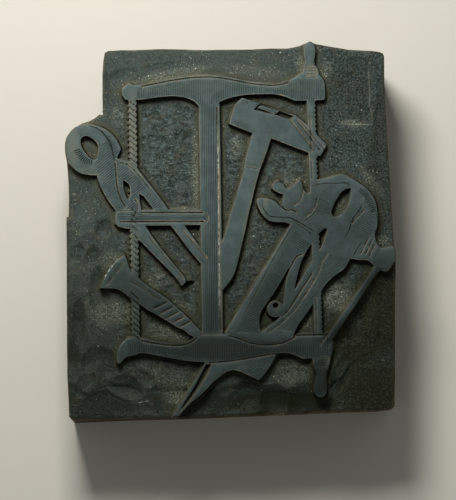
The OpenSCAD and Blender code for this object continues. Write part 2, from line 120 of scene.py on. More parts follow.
def headed(degrees: float) -> tuple[Points, Points]:
    """Directions along a heading and to its left."""
    turn = math.radians(degrees)
    return np.array([math.cos(turn), math.sin(turn)]), np.array([-math.sin(turn), math.cos(turn)])


def smooth(low: float, high: float, values: Points) -> Points:
    """Rises smoothly from 0 to 1 between two values.

    Args:
        low: Value where the rise starts.
        high: Value where it ends.
        values: The values to read.

    Returns:
        The height of the rise at each value.
    """
    t = np.clip((values - low) / (high - low), 0, 1)
    return t * t * (3 - 2 * t)


def mixed(grid: Points, cell: Points, t: Points) -> Points:
    """Reads a grid between its own points.

    Args:
        grid: Its values, by row and column.
        cell: Column and row of the grid's point below and left of each place.
        t: How far past that point each place lies, from 0 to 1.

    Returns:
        The value at each place.
    """
    x, y = cell.T
    low = grid[y, x] * (1 - t[:, 0]) + grid[y, x + 1] * t[:, 0]
    high = grid[y + 1, x] * (1 - t[:, 0]) + grid[y + 1, x + 1] * t[:, 0]
    return low * (1 - t[:, 1]) + high * t[:, 1]


def read_grid(grid: Points, corner: Points, step: float, points: Points) -> Points:
    """Value of a grid that starts at the corner, at each of the points."""
    place = (points - corner) / step
    cell = np.clip(np.floor(place).astype(int), 0, np.array(grid.shape[::-1]) - 2)
    return mixed(grid, cell, np.clip(place - cell, 0, 1))


def ripple(points: Points, size: float, seed: int) -> Points:
    """Soft noise over the block.

    Args:
        points: Places, as rows of x and y.
        size: Distance from one swell to the next.
        seed: Which noise it is.

    Returns:
        Values from -1 to 1.
    """
    table = np.random.default_rng(seed).uniform(-1, 1, (256, 256))
    place = points / size + 100
    cell = np.floor(place).astype(int)
    return mixed(table, cell % 255, smooth(0, 1, place - cell))


def blur(layer: Points) -> Points:
    """Averages each cell of a grid with the cells round it."""
    wide = np.pad(layer, 1, mode="edge")
    rows = wide[:-2] + wide[1:-1] + wide[2:]
    return (rows[:, :-2] + rows[:, 1:-1] + rows[:, 2:]) / 9


def off_edge(points: Points, a: Points, b: Points) -> Points:
    """Distance of each point from the straight line between a and b."""
    edge = b - a
    t = np.clip((points - a) @ edge / (edge @ edge), 0, 1)
    return np.hypot(*(points - a - t[:, None] * edge).T)


def filled(corners: Points, step: float) -> Points:
    """Points along a line through the corners, no further apart than the step."""
    parts = [corners[:1]]
    for a, b in zip(corners[:-1], corners[1:]):
        count = max(1, math.ceil(np.hypot(*(b - a)) / step))
        parts.append(a + (b - a) * np.arange(1, count + 1)[:, None] / count)
    return np.vstack(parts)


def inside(points: Points, outline: Line) -> Points:
    """Distance into a closed outline, below zero outside it.

    Args:
        points: Places, as rows of x and y.
        outline: Corners of the outline.

    Returns:
        The signed distance at each place.
    """
    corners = np.asarray(outline, float)
    nearest = np.full(len(points), np.inf)
    odd = np.zeros(len(points), bool)
    for a, b in zip(corners, np.roll(corners, -1, axis=0)):
        edge = b - a
        nearest = np.minimum(nearest, off_edge(points, a, b))
        spans = (a[1] > points[:, 1]) != (b[1] > points[:, 1])
        rise = edge[1] if edge[1] else 1.0
        odd ^= spans & (points[:, 0] < a[0] + (points[:, 1] - a[1]) * edge[0] / rise)
    return np.where(odd, nearest, -nearest)


def finished(work: bmesh.types.BMesh, name: str) -> Mesh:
    """Makes a mesh of this name from the one that was worked on."""
    mesh = bpy.data.meshes.new(name)
    work.to_mesh(mesh)
    work.free()
    return mesh


def add_object(name: str, data: object) -> Piece:
    """Puts a new object on the scene."""
    made = bpy.data.objects.new(name, data)
    bpy.context.scene.collection.objects.link(made)
    return made


@dataclass
class Field:
    """Signed distance to a set of edges, kept on a square grid over the block.

    The distance is below zero on the side that the edges enclose, and stops growing at the reach.
    """

    edges: Points
    step: float = 0.1
    reach: float = 1.6
    values: Points = field(init=False)

    def __post_init__(self) -> None:
        """Paints the distance round each edge, then finds the enclosed side row by row."""
        self.low = np.array(CAD_BOX[0][:2]) / MM - self.reach + 0.0137
        high = np.array(CAD_BOX[1][:2]) / MM + self.reach
        self.xs = np.arange(self.low[0], high[0], self.step)
        self.ys = np.arange(self.low[1], high[1], self.step)
        values = np.full((len(self.ys), len(self.xs)), self.reach)
        for a, b in self.edges:
            self._paint(values, a, b)
        start, end = self.edges[:, 0], self.edges[:, 1]
        for row, y in enumerate(self.ys):
            spans = (start[:, 1] > y) != (end[:, 1] > y)
            a, b = start[spans], end[spans]
            crossings = np.sort(a[:, 0] + (y - a[:, 1]) * (b[:, 0] - a[:, 0]) / (b[:, 1] - a[:, 1]))
            enclosed = np.searchsorted(crossings, self.xs) % 2 == 1
            values[row, enclosed] *= -1
        self.values = values

    def _paint(self, values: Points, a: Points, b: Points) -> None:
        """Lowers the distances near one edge."""
        first = np.maximum((np.minimum(a, b) - self.reach - self.low) / self.step, 0).astype(int)
        last = ((np.maximum(a, b) + self.reach - self.low) / self.step).astype(int) + 1
        patch = values[first[1] : last[1], first[0] : last[0]]
        x = self.xs[None, first[0] : last[0]] - a[0]
        y = self.ys[first[1] : last[1], None] - a[1]
        along = b - a
        t = np.clip((x * along[0] + y * along[1]) / max(along @ along, 1e-12), 0, 1)
        np.minimum(patch, np.hypot(x - t * along[0], y - t * along[1]), out=patch)

    def at(self, points: Points) -> Points:
        """The distance at each of the points, read between the grid's own points."""
        return read_grid(self.values, self.low, self.step, points)


@dataclass
class Solid:
    """One strip of the block, as the CAD has it."""

    node: str
    slice_height: float = 17.5
    lines: list[Points] = field(init=False)
    loop: Points = field(init=False)

    def __post_init__(self) -> None:
        """Reads the outlines of the printing face and of the strip, and its leaning foot side."""
        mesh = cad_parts[self.node].data
        places = np.array([v.co for v in mesh.vertices]) / MM
        faces = [list(p.vertices) for p in mesh.polygons]
        self.tree = BVHTree.FromPolygons([Vector(p) for p in places], faces)
        self.lines = self._printing_edges(places, faces)
        self.loop = self._slice(mesh)
        self.foot = self._foot_plane(mesh)

    def _printing_edges(self, places: Points, faces: list[list[int]]) -> list[Points]:
        """Chains of points round the printing face, with the face on their left."""
        keys = [tuple(np.round(p[:2], 4)) for p in places]
        used: dict[tuple, tuple] = {}
        for face in faces:
            if all(abs(places[i][2] - FACE) < 0.002 for i in face):
                for a, b in zip(face, face[1:] + face[:1]):
                    pair = (keys[a], keys[b])
                    if pair[::-1] in used:
                        del used[pair[::-1]]
                    else:
                        used[pair] = pair
        follow: dict[tuple, list[tuple]] = {}
        for a, b in used:
            if a != b and not along_joint(a, b, 0.01):
                follow.setdefault(a, []).append(b)
        ends = {b for targets in follow.values() for b in targets}
        chains = []
        for closed in (False, True):
            for start in list(follow):
                while follow.get(start) and (closed or start not in ends):
                    chain = [start]
                    while follow.get(chain[-1]):
                        chain.append(follow[chain[-1]].pop())
                    chains.append(np.array(chain))
        return chains

    def _slice(self, mesh: Mesh) -> Points:
        """Outline of the strip where a level plane cuts it, counterclockwise from above."""
        cut = bmesh.new()
        cut.from_mesh(mesh)
        bmesh.ops.remove_doubles(cut, verts=cut.verts, dist=1e-6)
        result = bmesh.ops.bisect_plane(
            cut,
            geom=cut.verts[:] + cut.edges[:] + cut.faces[:],
            plane_co=(0, 0, self.slice_height * MM),
            plane_no=(0, 0, 1),
        )
        joined: dict[tuple, list[tuple]] = {}
        for edge in (e for e in result["geom_cut"] if isinstance(e, bmesh.types.BMEdge)):
            a, b = (tuple(np.round(np.array(v.co[:2]) / MM, 4)) for v in edge.verts)
            if a != b:
                joined.setdefault(a, []).append(b)
                joined.setdefault(b, []).append(a)
        cut.free()
        loop = [min(joined)]
        while True:
            ways = [p for p in joined[loop[-1]] if p not in loop[-2:]]
            if not ways or ways[0] == loop[0]:
                break
            loop.append(ways[0])
        loop = np.array(loop)
        x, y = loop.T
        turning = np.sum(x * np.roll(y, -1) - y * np.roll(x, -1))
        return loop if turning > 0 else loop[::-1]

    def _foot_plane(self, mesh: Mesh) -> tuple[float, float, float] | None:
        """The leaning side at the foot, as y = a + b x + c z, on the strip that has one."""
        leaning = [p for p in mesh.polygons if p.normal.y < -0.9 and p.normal.z < -0.02]
        if not leaning:
            return None
        side = max(leaning, key=lambda p: p.area)
        n, c = side.normal, np.array(side.center) / MM
        return (float(c @ np.array(n)) / n.y, -n.x / n.y, -n.z / n.y)

    def foot_y(self, x: Points, z: float) -> Points:
        """Place of the foot side at the height z, far away where the strip has none."""
        if self.foot is None:
            return np.full(len(x), -1e3)
        a, b, c = self.foot
        return a + b * x + c * z

    def floor(self, points: Points) -> Points:
        """Height of the CAD's surface under each point, straight down from above."""
        down = Vector((0, 0, -1))
        heights = np.empty(len(points))
        for i, (x, y) in enumerate(points):
            hit = self.tree.ray_cast(Vector((x, y, FACE + 5)), down)[0]
            heights[i] = hit.z if hit else np.nan
        return heights


@dataclass(frozen=True)
class Tint:
    """Tint lines cut side by side over one part of the picture."""

    area: Line
    slant: float
    pitch: float = 0.36
    width: float = 0.17
    depth: float = 0.08
    sway: float = 0.05

    @property
    def across(self) -> Points:
        """Direction from one line to the next."""
        return headed(self.slant)[1]

    @property
    def along(self) -> Points:
        """Direction of the lines."""
        return headed(self.slant)[0]

    def _swayed(self, points: Points) -> Points:
        """Place of each point across the lines, with the unsteadiness of the hand."""
        return points @ self.across + self.sway * ripple(points, 3.5, int(abs(self.slant)) + 7)

    def strength(self, points: Points, edge: Points) -> Points:
        """How deep the graver goes at each point, from 0 to 1, given its distance to an edge."""
        reach = inside(points, [tuple(np.array(p) + PICTURE_SHIFT) for p in self.area])
        return smooth(0, 0.3, reach) * smooth(0.16, 0.28, -edge)

    def cut(self, points: Points, edge: Points) -> Points:
        """Depth of the lines at each point, as a share of the tint's own depth."""
        phase = self._swayed(points) / self.pitch
        away = np.abs(phase - np.round(phase)) * self.pitch
        return np.clip(1 - away / (self.width / 2), 0, 1) * self.strength(points, edge)

    def strokes(self, relief: Field, step: float = 0.45) -> list[Points]:
        """Rows of points on the sides and the bottom of every line.

        Args:
            relief: Distance to the edges of the printing face.
            step: Distance between points along a line.

        Returns:
            The rows, each in order along its line.
        """
        corners = np.array(self.area) + PICTURE_SHIFT
        s, u = corners @ self.along, corners @ self.across
        places = np.arange(s.min(), s.max(), step)
        rows = []
        for k in range(math.floor(u.min() / self.pitch), math.ceil(u.max() / self.pitch) + 1):
            middle = places[:, None] * self.along + k * self.pitch * self.across
            drift = self._swayed(middle) - k * self.pitch
            middle = middle - drift[:, None] * self.across
            strong = self.strength(middle, relief.at(middle)) > 0.02
            for side in (-0.5, 0, 0.5):
                row = middle + side * self.width * self.across
                rows += runs(row, strong)
        return rows


@dataclass(frozen=True)
class Stroke:
    """One short cut of the graver."""

    start: Spot
    end: Spot
    width: float = 0.2
    depth: float = 0.14

    @property
    def ends(self) -> Points:
        """Its two ends on the block."""
        return np.array([self.start, self.end]) + PICTURE_SHIFT

    def cut(self, points: Points) -> Points:
        """Depth of the cut at each point."""
        away = off_edge(points, *self.ends)
        return self.depth * np.clip(1 - away / (self.width / 2), 0, 1)

    def rows(self) -> list[Points]:
        """Points on the sides and the bottom of the cut."""
        a, b = self.ends
        along = (b - a) / np.hypot(*(b - a))
        across = np.array([-along[1], along[0]]) * self.width / 2
        t = np.linspace(0, 1, 4)[:, None]
        return [a + t * (b - a) + side * across for side in (-1, 0, 1)]


def runs(row: Points, keep: Points) -> list[Points]:
    """Splits a row of points into its unbroken stretches that are kept."""
    breaks = np.flatnonzero(np.diff(keep.astype(int))) + 1
    parts = np.split(np.arange(len(row)), breaks)
    return [row[p] for p in parts if len(p) > 1 and keep[p[0]]]


@dataclass(frozen=True)
class Oval:
    """Oval on the block, which hollows and patches have in common."""

    middle: Spot
    heading: float
    radii: Spot

    def across(self, points: Points) -> tuple[Points, Points]:
        """How far along the oval and to its left each point lies, with 1 at its rim."""
        along, left = headed(self.heading)
        away = points - (np.array(self.middle) + PICTURE_SHIFT)
        return away @ along / self.radii[0], away @ left / self.radii[1]


@dataclass(frozen=True)
class Scoop:
    """Hollow that one push of a gouge leaves in the ground."""

    middle: Spot
    heading: float
    length: float
    width: float
    depth: float
    steepness: ClassVar[float] = 1.25
    run_in: ClassVar[float] = 0.9
    fullness: ClassVar[float] = 0.7

    def cut(self, points: Points) -> Points:
        """Depth of the hollow at each point."""
        s, t = Oval(self.middle, self.heading, (self.length / 2, self.width / 2)).across(points)
        # Steep where the tool is pushed out, shallow where it went in
        s = np.where(s > 0, s * self.steepness, s * self.run_in)
        return self.depth * np.clip(1 - s * s - t * t, 0, 1) ** self.fullness

    def lower(self, points: Points, cut: Points, over: Points, tone: Points) -> None:
        """Deepens the cut wherever this hollow reaches below it.

        Args:
            points: Places on the ground.
            cut: Depth so far at each.
            over: Depth of the second deepest hollow at each.
            tone: Tone of the deepest hollow at each.
        """
        x, y = np.array(self.middle) + PICTURE_SHIFT
        reach = self.length * 0.62 + self.width * 0.5
        near = np.flatnonzero((np.abs(points - (x, y)) < reach).all(axis=1))
        depth = self.cut(points[near])
        deeper = depth > cut[near]
        over[near] = np.maximum(over[near], np.minimum(cut[near], depth))
        cut[near[deeper]] = depth[deeper]
        tone[near[deeper]] = (x * 7.31 + y * 3.17 + self.heading) % 1


@dataclass(frozen=True)
class Ledge:
    """Thin line in the ground or along a rim: bright above zero, with dust and a painted highlight;
    dark below zero, with painted shade.
    """

    path: Line
    width: float
    strength: float

    @property
    def line(self) -> Points:
        """Points along the line, close enough together to bend with it."""
        return filled(np.array(self.path) + PICTURE_SHIFT, 0.22)

    def rows(self) -> list[Points]:
        """Rows of points along the line and on both sides of it, for the mesh."""
        line = self.line
        along = np.gradient(line, axis=0)
        outward = np.stack([along[:, 1], -along[:, 0]], axis=1) / np.hypot(*along.T)[:, None]
        return [line + side * self.width * outward for side in (-0.5, 0, 0.5)]

    def mark(self, points: Points, marks: Points) -> None:
        """Adds how strongly the line marks each point, weaker towards its ends."""
        line = self.line
        low, high = line.min(axis=0) - self.width, line.max(axis=0) + self.width
        near = np.flatnonzero(((points > low) & (points < high)).all(axis=1))
        if not len(near):
            return
        away = np.hypot(*(points[near, None] - line[None]).transpose(2, 0, 1))
        place = away.argmin(axis=1) / (len(line) - 1)
        ends = smooth(-0.05, 0.2, np.minimum(place, 1 - place))
        close = smooth(0.75 * self.width, 0.15 * self.width, away.min(axis=1))
        marks[near] += self.strength * ends * close


# Thin lines, each with its path, width and strength; bright ones carry dust and a painted
# highlight, dark ones painted shade
LEDGES = [
    Ledge([(-30.3, -33.5), (-29.5, -32.9), (-28.8, -32.2), (-28, -31.7), (-27.4, -31.7),
           (-26.6, -31.2), (-25.8, -31), (-25, -31.2), (-24.4, -31.8), (-23.6, -32.2),
           (-22.8, -32.6), (-22, -33), (-21, -33.2)], 0.3, -0.7),
    Ledge([(-27, -30.9), (-26.2, -30.5), (-25.6, -30.2), (-24.4, -29.8), (-23.2, -30),
           (-22.2, -30.2), (-20.8, -30)], 0.28, -0.65),
    Ledge([(-25.6, -30.2), (-25.2, -30.7), (-24.8, -31.2)], 0.25, -0.5),
    Ledge([(-21.3, -31), (-21, -31.8), (-20.8, -33)], 0.35, -0.45),
    Ledge([(-30, -36.5), (-28.4, -36.2), (-27.4, -35.7), (-26.6, -35.9), (-24.8, -36.2),
           (-22.4, -36.2), (-20, -36.2), (-18, -36.5)], 0.4, -0.5),
    Ledge([(-19, -33.6), (-18.8, -34.6), (-18.9, -36)], 0.4, -0.5),
    Ledge([(-17.6, -33.6), (-16.4, -34.5), (-15.1, -35.5), (-13.9, -36.5)], 0.5, -0.5),
    Ledge([(-20.2, -28.2), (-19.6, -29), (-18.8, -29.5)], 0.35, -0.55),
    Ledge([(-32.3, -33.5), (-30.5, -33.5)], 0.25, -0.5),
    Ledge([(-25.7, -25.6), (-24.9, -26.1), (-23.9, -26.5), (-22.7, -26.6)], 0.3, -0.55),
    Ledge([(-26.9, -25.6), (-27.5, -26.6), (-27.7, -27.8), (-27.9, -28.8)], 0.35, -0.5),
    Ledge([(-30.4, -23.5), (-30.5, -25.3), (-30.4, -26.5)], 0.3, -0.35),
    Ledge([(-20.4, -30), (-19.6, -30.6), (-18.6, -31.2), (-17.9, -32.2)], 0.3, -0.4),
    Ledge([(-20.2, -33.2), (-19.2, -33.5), (-18.2, -33.3), (-17.2, -33.1),
           (-16.2, -33.1)], 0.28, 0.6),
    Ledge([(-20, -30), (-19, -30.2), (-18, -30.5), (-17, -30.9)], 0.3, 0.3),
    Ledge([(-16.9, -30), (-16.3, -30.2), (-16.2, -30.7), (-16.7, -30.9)], 0.24, 0.45),
    Ledge([(-30.1, -31.3), (-29.3, -30.7), (-28.3, -29.7), (-27.7, -29)], 0.35, 0.25),
    Ledge([(-23.5, -27.3), (-22.9, -27.1), (-22.5, -26.8)], 0.35, 0.4),
    Ledge([(-26.8, 1.9), (-27.1, 0.9), (-27, -0.9), (-26.6, -1.7)], 0.35, -0.45),
    Ledge([(-31.8, -2.1), (-31, -2), (-30.2, -2.2), (-29.6, -2.6)], 0.35, -0.5),
    Ledge([(-32.2, -2.7), (-31.6, -3.3), (-30.8, -3.7)], 0.3, 0.25),
    Ledge([(-28.1, -3.3), (-27.6, -2.8), (-27, -2.8), (-26.4, -3.3), (-26.2, -4.2)], 0.5, -0.55),
    Ledge([(-25.4, -2), (-24.6, -1.4), (-23.8, -1.2)], 0.3, -0.45),
    Ledge([(-26.6, -2.3), (-26.2, -1.6), (-25.7, -1)], 0.3, 0.4),
    Ledge([(-32, -12.7), (-31.4, -12.5), (-30.4, -12.4), (-29.4, -12.7),
           (-29.1, -13.5)], 0.35, -0.5),
    Ledge([(-32.1, -10.9), (-31.6, -11.7), (-31.3, -12.3)], 0.3, -0.35),
    Ledge([(-28.2, -11.1), (-27.2, -11.3), (-26.2, -11.2)], 0.25, -0.45),
    Ledge([(-27.1, -18.2), (-26.5, -18.8), (-25.7, -19.6), (-25.3, -20.2)], 0.45, -0.45),
    Ledge([(-24, -16.6), (-23.3, -16.5), (-22.5, -16.7)], 0.28, -0.5),
    Ledge([(-32.1, -20.2), (-31.3, -20.7), (-30.5, -21.5)], 0.35, -0.4),
    Ledge([(-29.9, -15.3), (-29.1, -16.6), (-28.7, -18)], 0.5, -0.3),
    Ledge([(-30.4, -4.1), (-29.6, -4.2), (-28.8, -3.5)], 0.35, 0.25),
    Ledge([(3.1, -30.9), (4.3, -31), (5.3, -31.2), (5.9, -31.9), (6.9, -31.8), (8.1, -31.6),
           (9.8, -31.5), (11.8, -32), (13.4, -32.6), (14.4, -33.4)], 0.5, -0.5),
    Ledge([(3, -31), (3, -32.5), (1.7, -34.2), (-0.3, -36)], 0.5, -0.35),
    Ledge([(11.4, -31.5), (12.2, -31.7), (13, -31.7)], 0.4, 0.3),
    Ledge([(5.9, -30.2), (7.1, -29.9), (8.5, -29.7)], 0.3, 0.35),
    Ledge([(22.7, -25.5), (22.7, -26.5), (22.2, -27.5), (21.6, -28.7), (21, -29.7), (20, -30.9),
           (19.4, -31.6)], 0.5, 0.3),
    Ledge([(23.5, -22.1), (23.4, -24.3), (23.3, -26.3), (22.6, -28.3), (21.6, -30.1),
           (20.6, -31.5)], 1, -0.45),
    Ledge([(28.1, 35), (28.2, 31.1), (28.4, 28.5), (28.2, 26), (28.7, 24.8),
           (28.8, 22.2)], 0.3, 0.4),
    Ledge([(28.7, 22.1), (27.6, 22.2), (26.2, 22.3), (24.8, 22.3), (23.5, 22.4)], 0.3, 0.6),
    Ledge([(-25.6, -9.2), (-25, -8), (-24.2, -6.6), (-23.2, -5.4), (-22.2, -4.5),
           (-21.4, -4)], 0.3, 0.8),
    Ledge([(-22.5, -22.8), (-21.9, -21.7), (-21.1, -21), (-20.1, -20.6)], 0.26, 0.5),
    Ledge([(16.6, -32.2), (17.4, -32.7), (18.2, -32.5), (18.7, -31.6)], 0.3, 0.3),
    Ledge([(-2.4, 24), (-2.4, -19.4)], 0.36, 1),
]

# Sunken part of the ground near the upper right corner
RECESS = [(17.9, 38), (28.1, 38), (28.2, 31.1), (28.4, 28.5), (28.2, 26), (28.7, 24.8),
          (28.8, 22.2), (17.9, 22.5)]


# Large gouge marks in the margins: x, y, heading, length, width and depth of each
HOLLOWS = [
    (-26.3, -13.2, 277, 13.5, 4.4, 0.63), (-30.6, -18.2, 270, 11, 3.4, 0.6),
    (-31.9, -24.6, 262, 7.4, 3, 0.54), (-28.5, -25.2, 255, 6.2, 3.6, 0.54),
    (-24.4, -26.4, 300, 8.2, 5, 0.75), (-20.9, -30.3, 338, 9.4, 4.8, 0.93),
    (-17.3, -28.9, 325, 5, 3, 0.75), (-25.6, -35, 272, 7.5, 13, 0.5),
    (-29.6, -30.2, 235, 6.6, 4.4, 0.51), (-25.7, 1.2, 240, 4.4, 3.4, 0.63),
    (-27.9, -4.4, 264, 5, 3.2, 0.69), (-31, -3.4, 215, 5, 3.4, 0.39),
    (-29.6, 6.5, 262, 11, 4.6, 0.45), (-22.6, 32.2, 200, 7.5, 3, 0.24),
    (-14, 33.9, 187, 10, 2.6, 0.21), (-25, 28.5, 268, 9, 2.6, 0.45),
    (-12.4, -31, 282, 8, 5, 0.45), (3, -31.8, 272, 8, 5.4, 0.6), (8.4, -33.6, 268, 7.2, 6.4, 0.8),
    (13.6, -34.4, 264, 6.4, 6, 0.7), (18.4, -35.2, 275, 5, 4.6, 0.3),
    (24.6, -19, 240, 17, 4.4, 0.75), (22.2, -27.6, 244, 12, 3.8, 0.68),
    (28, -13.6, 235, 8, 4, 0.51), (25.4, 16.2, 335, 11, 4.2, 0.36), (29.6, 8, 282, 13, 3.4, 0.39),
    (30.8, -5.6, 268, 7, 3, 0.45), (-8.5, -9.8, 198, 2.4, 1, 1),
]


def drawn_scoop(rng: np.random.Generator, x: float, y: float, *spans: tuple) -> Scoop:
    """Draws one hollow near a place.

    Args:
        rng: Where the numbers come from.
        x: Place across the picture.
        y: Place up the picture.
        spans: Limits of its shift along x and y, heading, length, width and depth, in turn.

    Returns:
        The hollow.
    """
    right, up, *form = (rng.uniform(*span) for span in spans)
    return Scoop((x + right, y + up), *form)


def margin_scoops(seed: int = 11) -> list[Scoop]:
    """Gouge marks over the margins: the large ones listed, small ones between them."""
    rng = np.random.default_rng(seed)
    left = ((-0.6, 0.6), (-0.9, 0.9), (250, 290), (5, 8), (2.6, 3.8), (0.1, 0.22))
    foot = ((-0.9, 0.9), (-0.8, 0.8), (240, 300), (4, 7), (2.8, 4.4), (0.12, 0.26))
    rows, columns = np.arange(36.5, -36, -2.9), np.arange(-30, 12, 3.1)
    marks = [drawn_scoop(rng, x, y, *left) for y in rows for x in (-31.6, -28.6)]
    marks += [drawn_scoop(rng, x, y, *foot) for x in columns for y in (-29.6, -33.4)]
    return marks + [Scoop(row[:2], *row[2:]) for row in HOLLOWS]


def floor_scoops(seed: int = 4) -> list[Scoop]:
    """Short chips side by side over the ground between the tools."""
    rng = np.random.default_rng(seed)
    spans = ((-0.7, 0.7), (-0.55, 0.55), (255, 290), (1.1, 2.4), (1.4, 3.2), (0.12, 0.34))
    rows, columns = np.arange(-30, 28, 1.15), np.arange(-24, 27, 1.5)
    return [drawn_scoop(rng, x, y, *spans) for x in columns for y in rows]


@dataclass(frozen=True)
class Patch:
    """Oval part of the surface, strongest at its middle."""

    middle: Spot
    radii: Spot
    strength: float
    heading: float = 0

    def share(self, points: Points) -> Points:
        """Strength of the patch at each point."""
        away = np.hypot(*Oval(self.middle, self.heading, self.radii).across(points))
        return self.strength * smooth(1.25, 0.35, away)


def patches(*rows: tuple) -> list[Patch]:
    """Patches, from the x, y, two radii, strength and, if it is turned, heading of each."""
    return [Patch(row[:2], row[2:4], *row[4:]) for row in rows]


def strongest(found: list[Patch], points: Points) -> Points:
    """Strength of the strongest of the patches at each point."""
    return np.max([patch.share(points) for patch in found], axis=0)


# Where pale dust lies on the ground
DUSTY = patches(
    (-12, 32.6, 10, 1.3, 0.6, 12), (5, 33.2, 8, 1.4, 0.45, -8), (14.6, 34.5, 1.3, 2.4, 0.9),
    (19.6, 33.4, 1.4, 2, 0.7), (-12.4, -19.3, 4.6, 1.9, 1.6, -6),
    (-10.6, -19.5, 3.6, 1.2, 2.8, -8), (-23, -15.5, 2.8, 6, 1, 90), (-24, -5, 2.6, 2.4, 0.7),
    (-15.6, -9, 2.4, 3, 1, -40), (-10, -14, 3, 1.6, 0.7, -30), (12.2, -28.2, 4.6, 2.6, 0.9),
    (1.4, 18, 1.6, 2.6, 0.8), (-7, 12, 0.9, 11, 1), (-9.5, 5.2, 3.4, 0.9, 1),
    (24.6, 22.7, 3, 0.8, 1.4), (28.6, 10.4, 4.4, 1.1, 0.9, -52), (22.2, 5.4, 1.6, 2.6, 1),
    (15, -17.5, 1.6, 2, 1.2), (21.2, -13, 3, 4, 1.7, 60), (30.6, -1.4, 1.5, 1.4, 1),
    (8.6, -9, 1.2, 4, 0.8, 60), (-10.4, -31.6, 3, 5, 1.3, 60), (-14.5, -27.8, 8, 2, 0.7, -8),
    (-10.5, -8.5, 4, 2, 0.8, -40), (7.4, 3.8, 1.2, 1, 0.6), (12.6, 10.6, 3, 1.6, 0.7),
    (-22.6, 24.4, 1.4, 3, 0.5),
)


# Where the ink has worn through to the wood on the printing face
WORN = patches(
    (-19.5, 20.5, 1.6, 9, 0.9), (-19.3, -3.6, 1.4, 5.6, 0.5), (-19.2, -16, 1.4, 5.4, 0.35),
    (5, 7.8, 12, 0.9, 0.9, 75), (7.9, 9, 7, 0.6, 0.7, 72), (-31.6, 18, 1.6, 5, 0.5),
    (-28, 12.4, 4, 1, 0.4, -20), (-24.6, 22.4, 2, 0.8, 0.4, 60), (21, 36, 1.6, 2.6, 0.35),
    (-22, -16, 1.2, 4, 0.4, -50),
)

# Where dust has settled in the cut lines
LINED = patches(
    (-2.4, 2, 0.7, 27, 1), (-28, -10, 1.6, 4, 0.5, -30), (18, -14, 0.5, 9, 0.6),
    (26, -12, 12, 1, 0.5, 45), (-12, -20, 9, 0.9, 0.5),
)

# Where the colour is darker: partly fresher ink, partly painted shade for the light falling off
# towards the foot and the right
INK_AND_SHADE = patches(
    (12.5, -34.6, 9, 2.6, 1), (-19, -17.6, 1.3, 4.4, 0.25), (-3.8, -16, 2.6, 6.4, 0.24),
    (15.4, 19.6, 4.4, 1.5, 0.3, -52), (8.4, 22.4, 7.5, 4, 0.17, -25),
    (2.2, 22.3, 2.4, 0.7, 0.4, -22), (6.6, 14, 4, 0.7, 0.3, 80), (17.4, -29.2, 2.4, 5.4, 0.5),
    (-24.6, 19.4, 3.4, 0.5, 0.35, -62), (19, 3, 12, 9, 0.46), (9, -12, 12, 4.6, 0.26, 55),
    (-1, -23, 24, 3, 0.32), (-19, -11, 11, 4, 0.38, -38), (30.5, 14, 3.6, 18, 0.36),
    (25, 29, 5, 8, 0.22), (29.5, -14, 5.5, 12, 0.7), (24, -22, 5, 9, 0.5, 60),
    (27.5, -31, 9, 8, 0.42), (10, -34, 14, 3.4, 0.6), (-4, -34, 5, 3, 0.3),
    (-26, -34.5, 10, 3.5, 0.12), (-31.5, -18, 2, 12, 0.22), (2.6, -29.8, 2.6, 1.2, 0.3, 20),
)


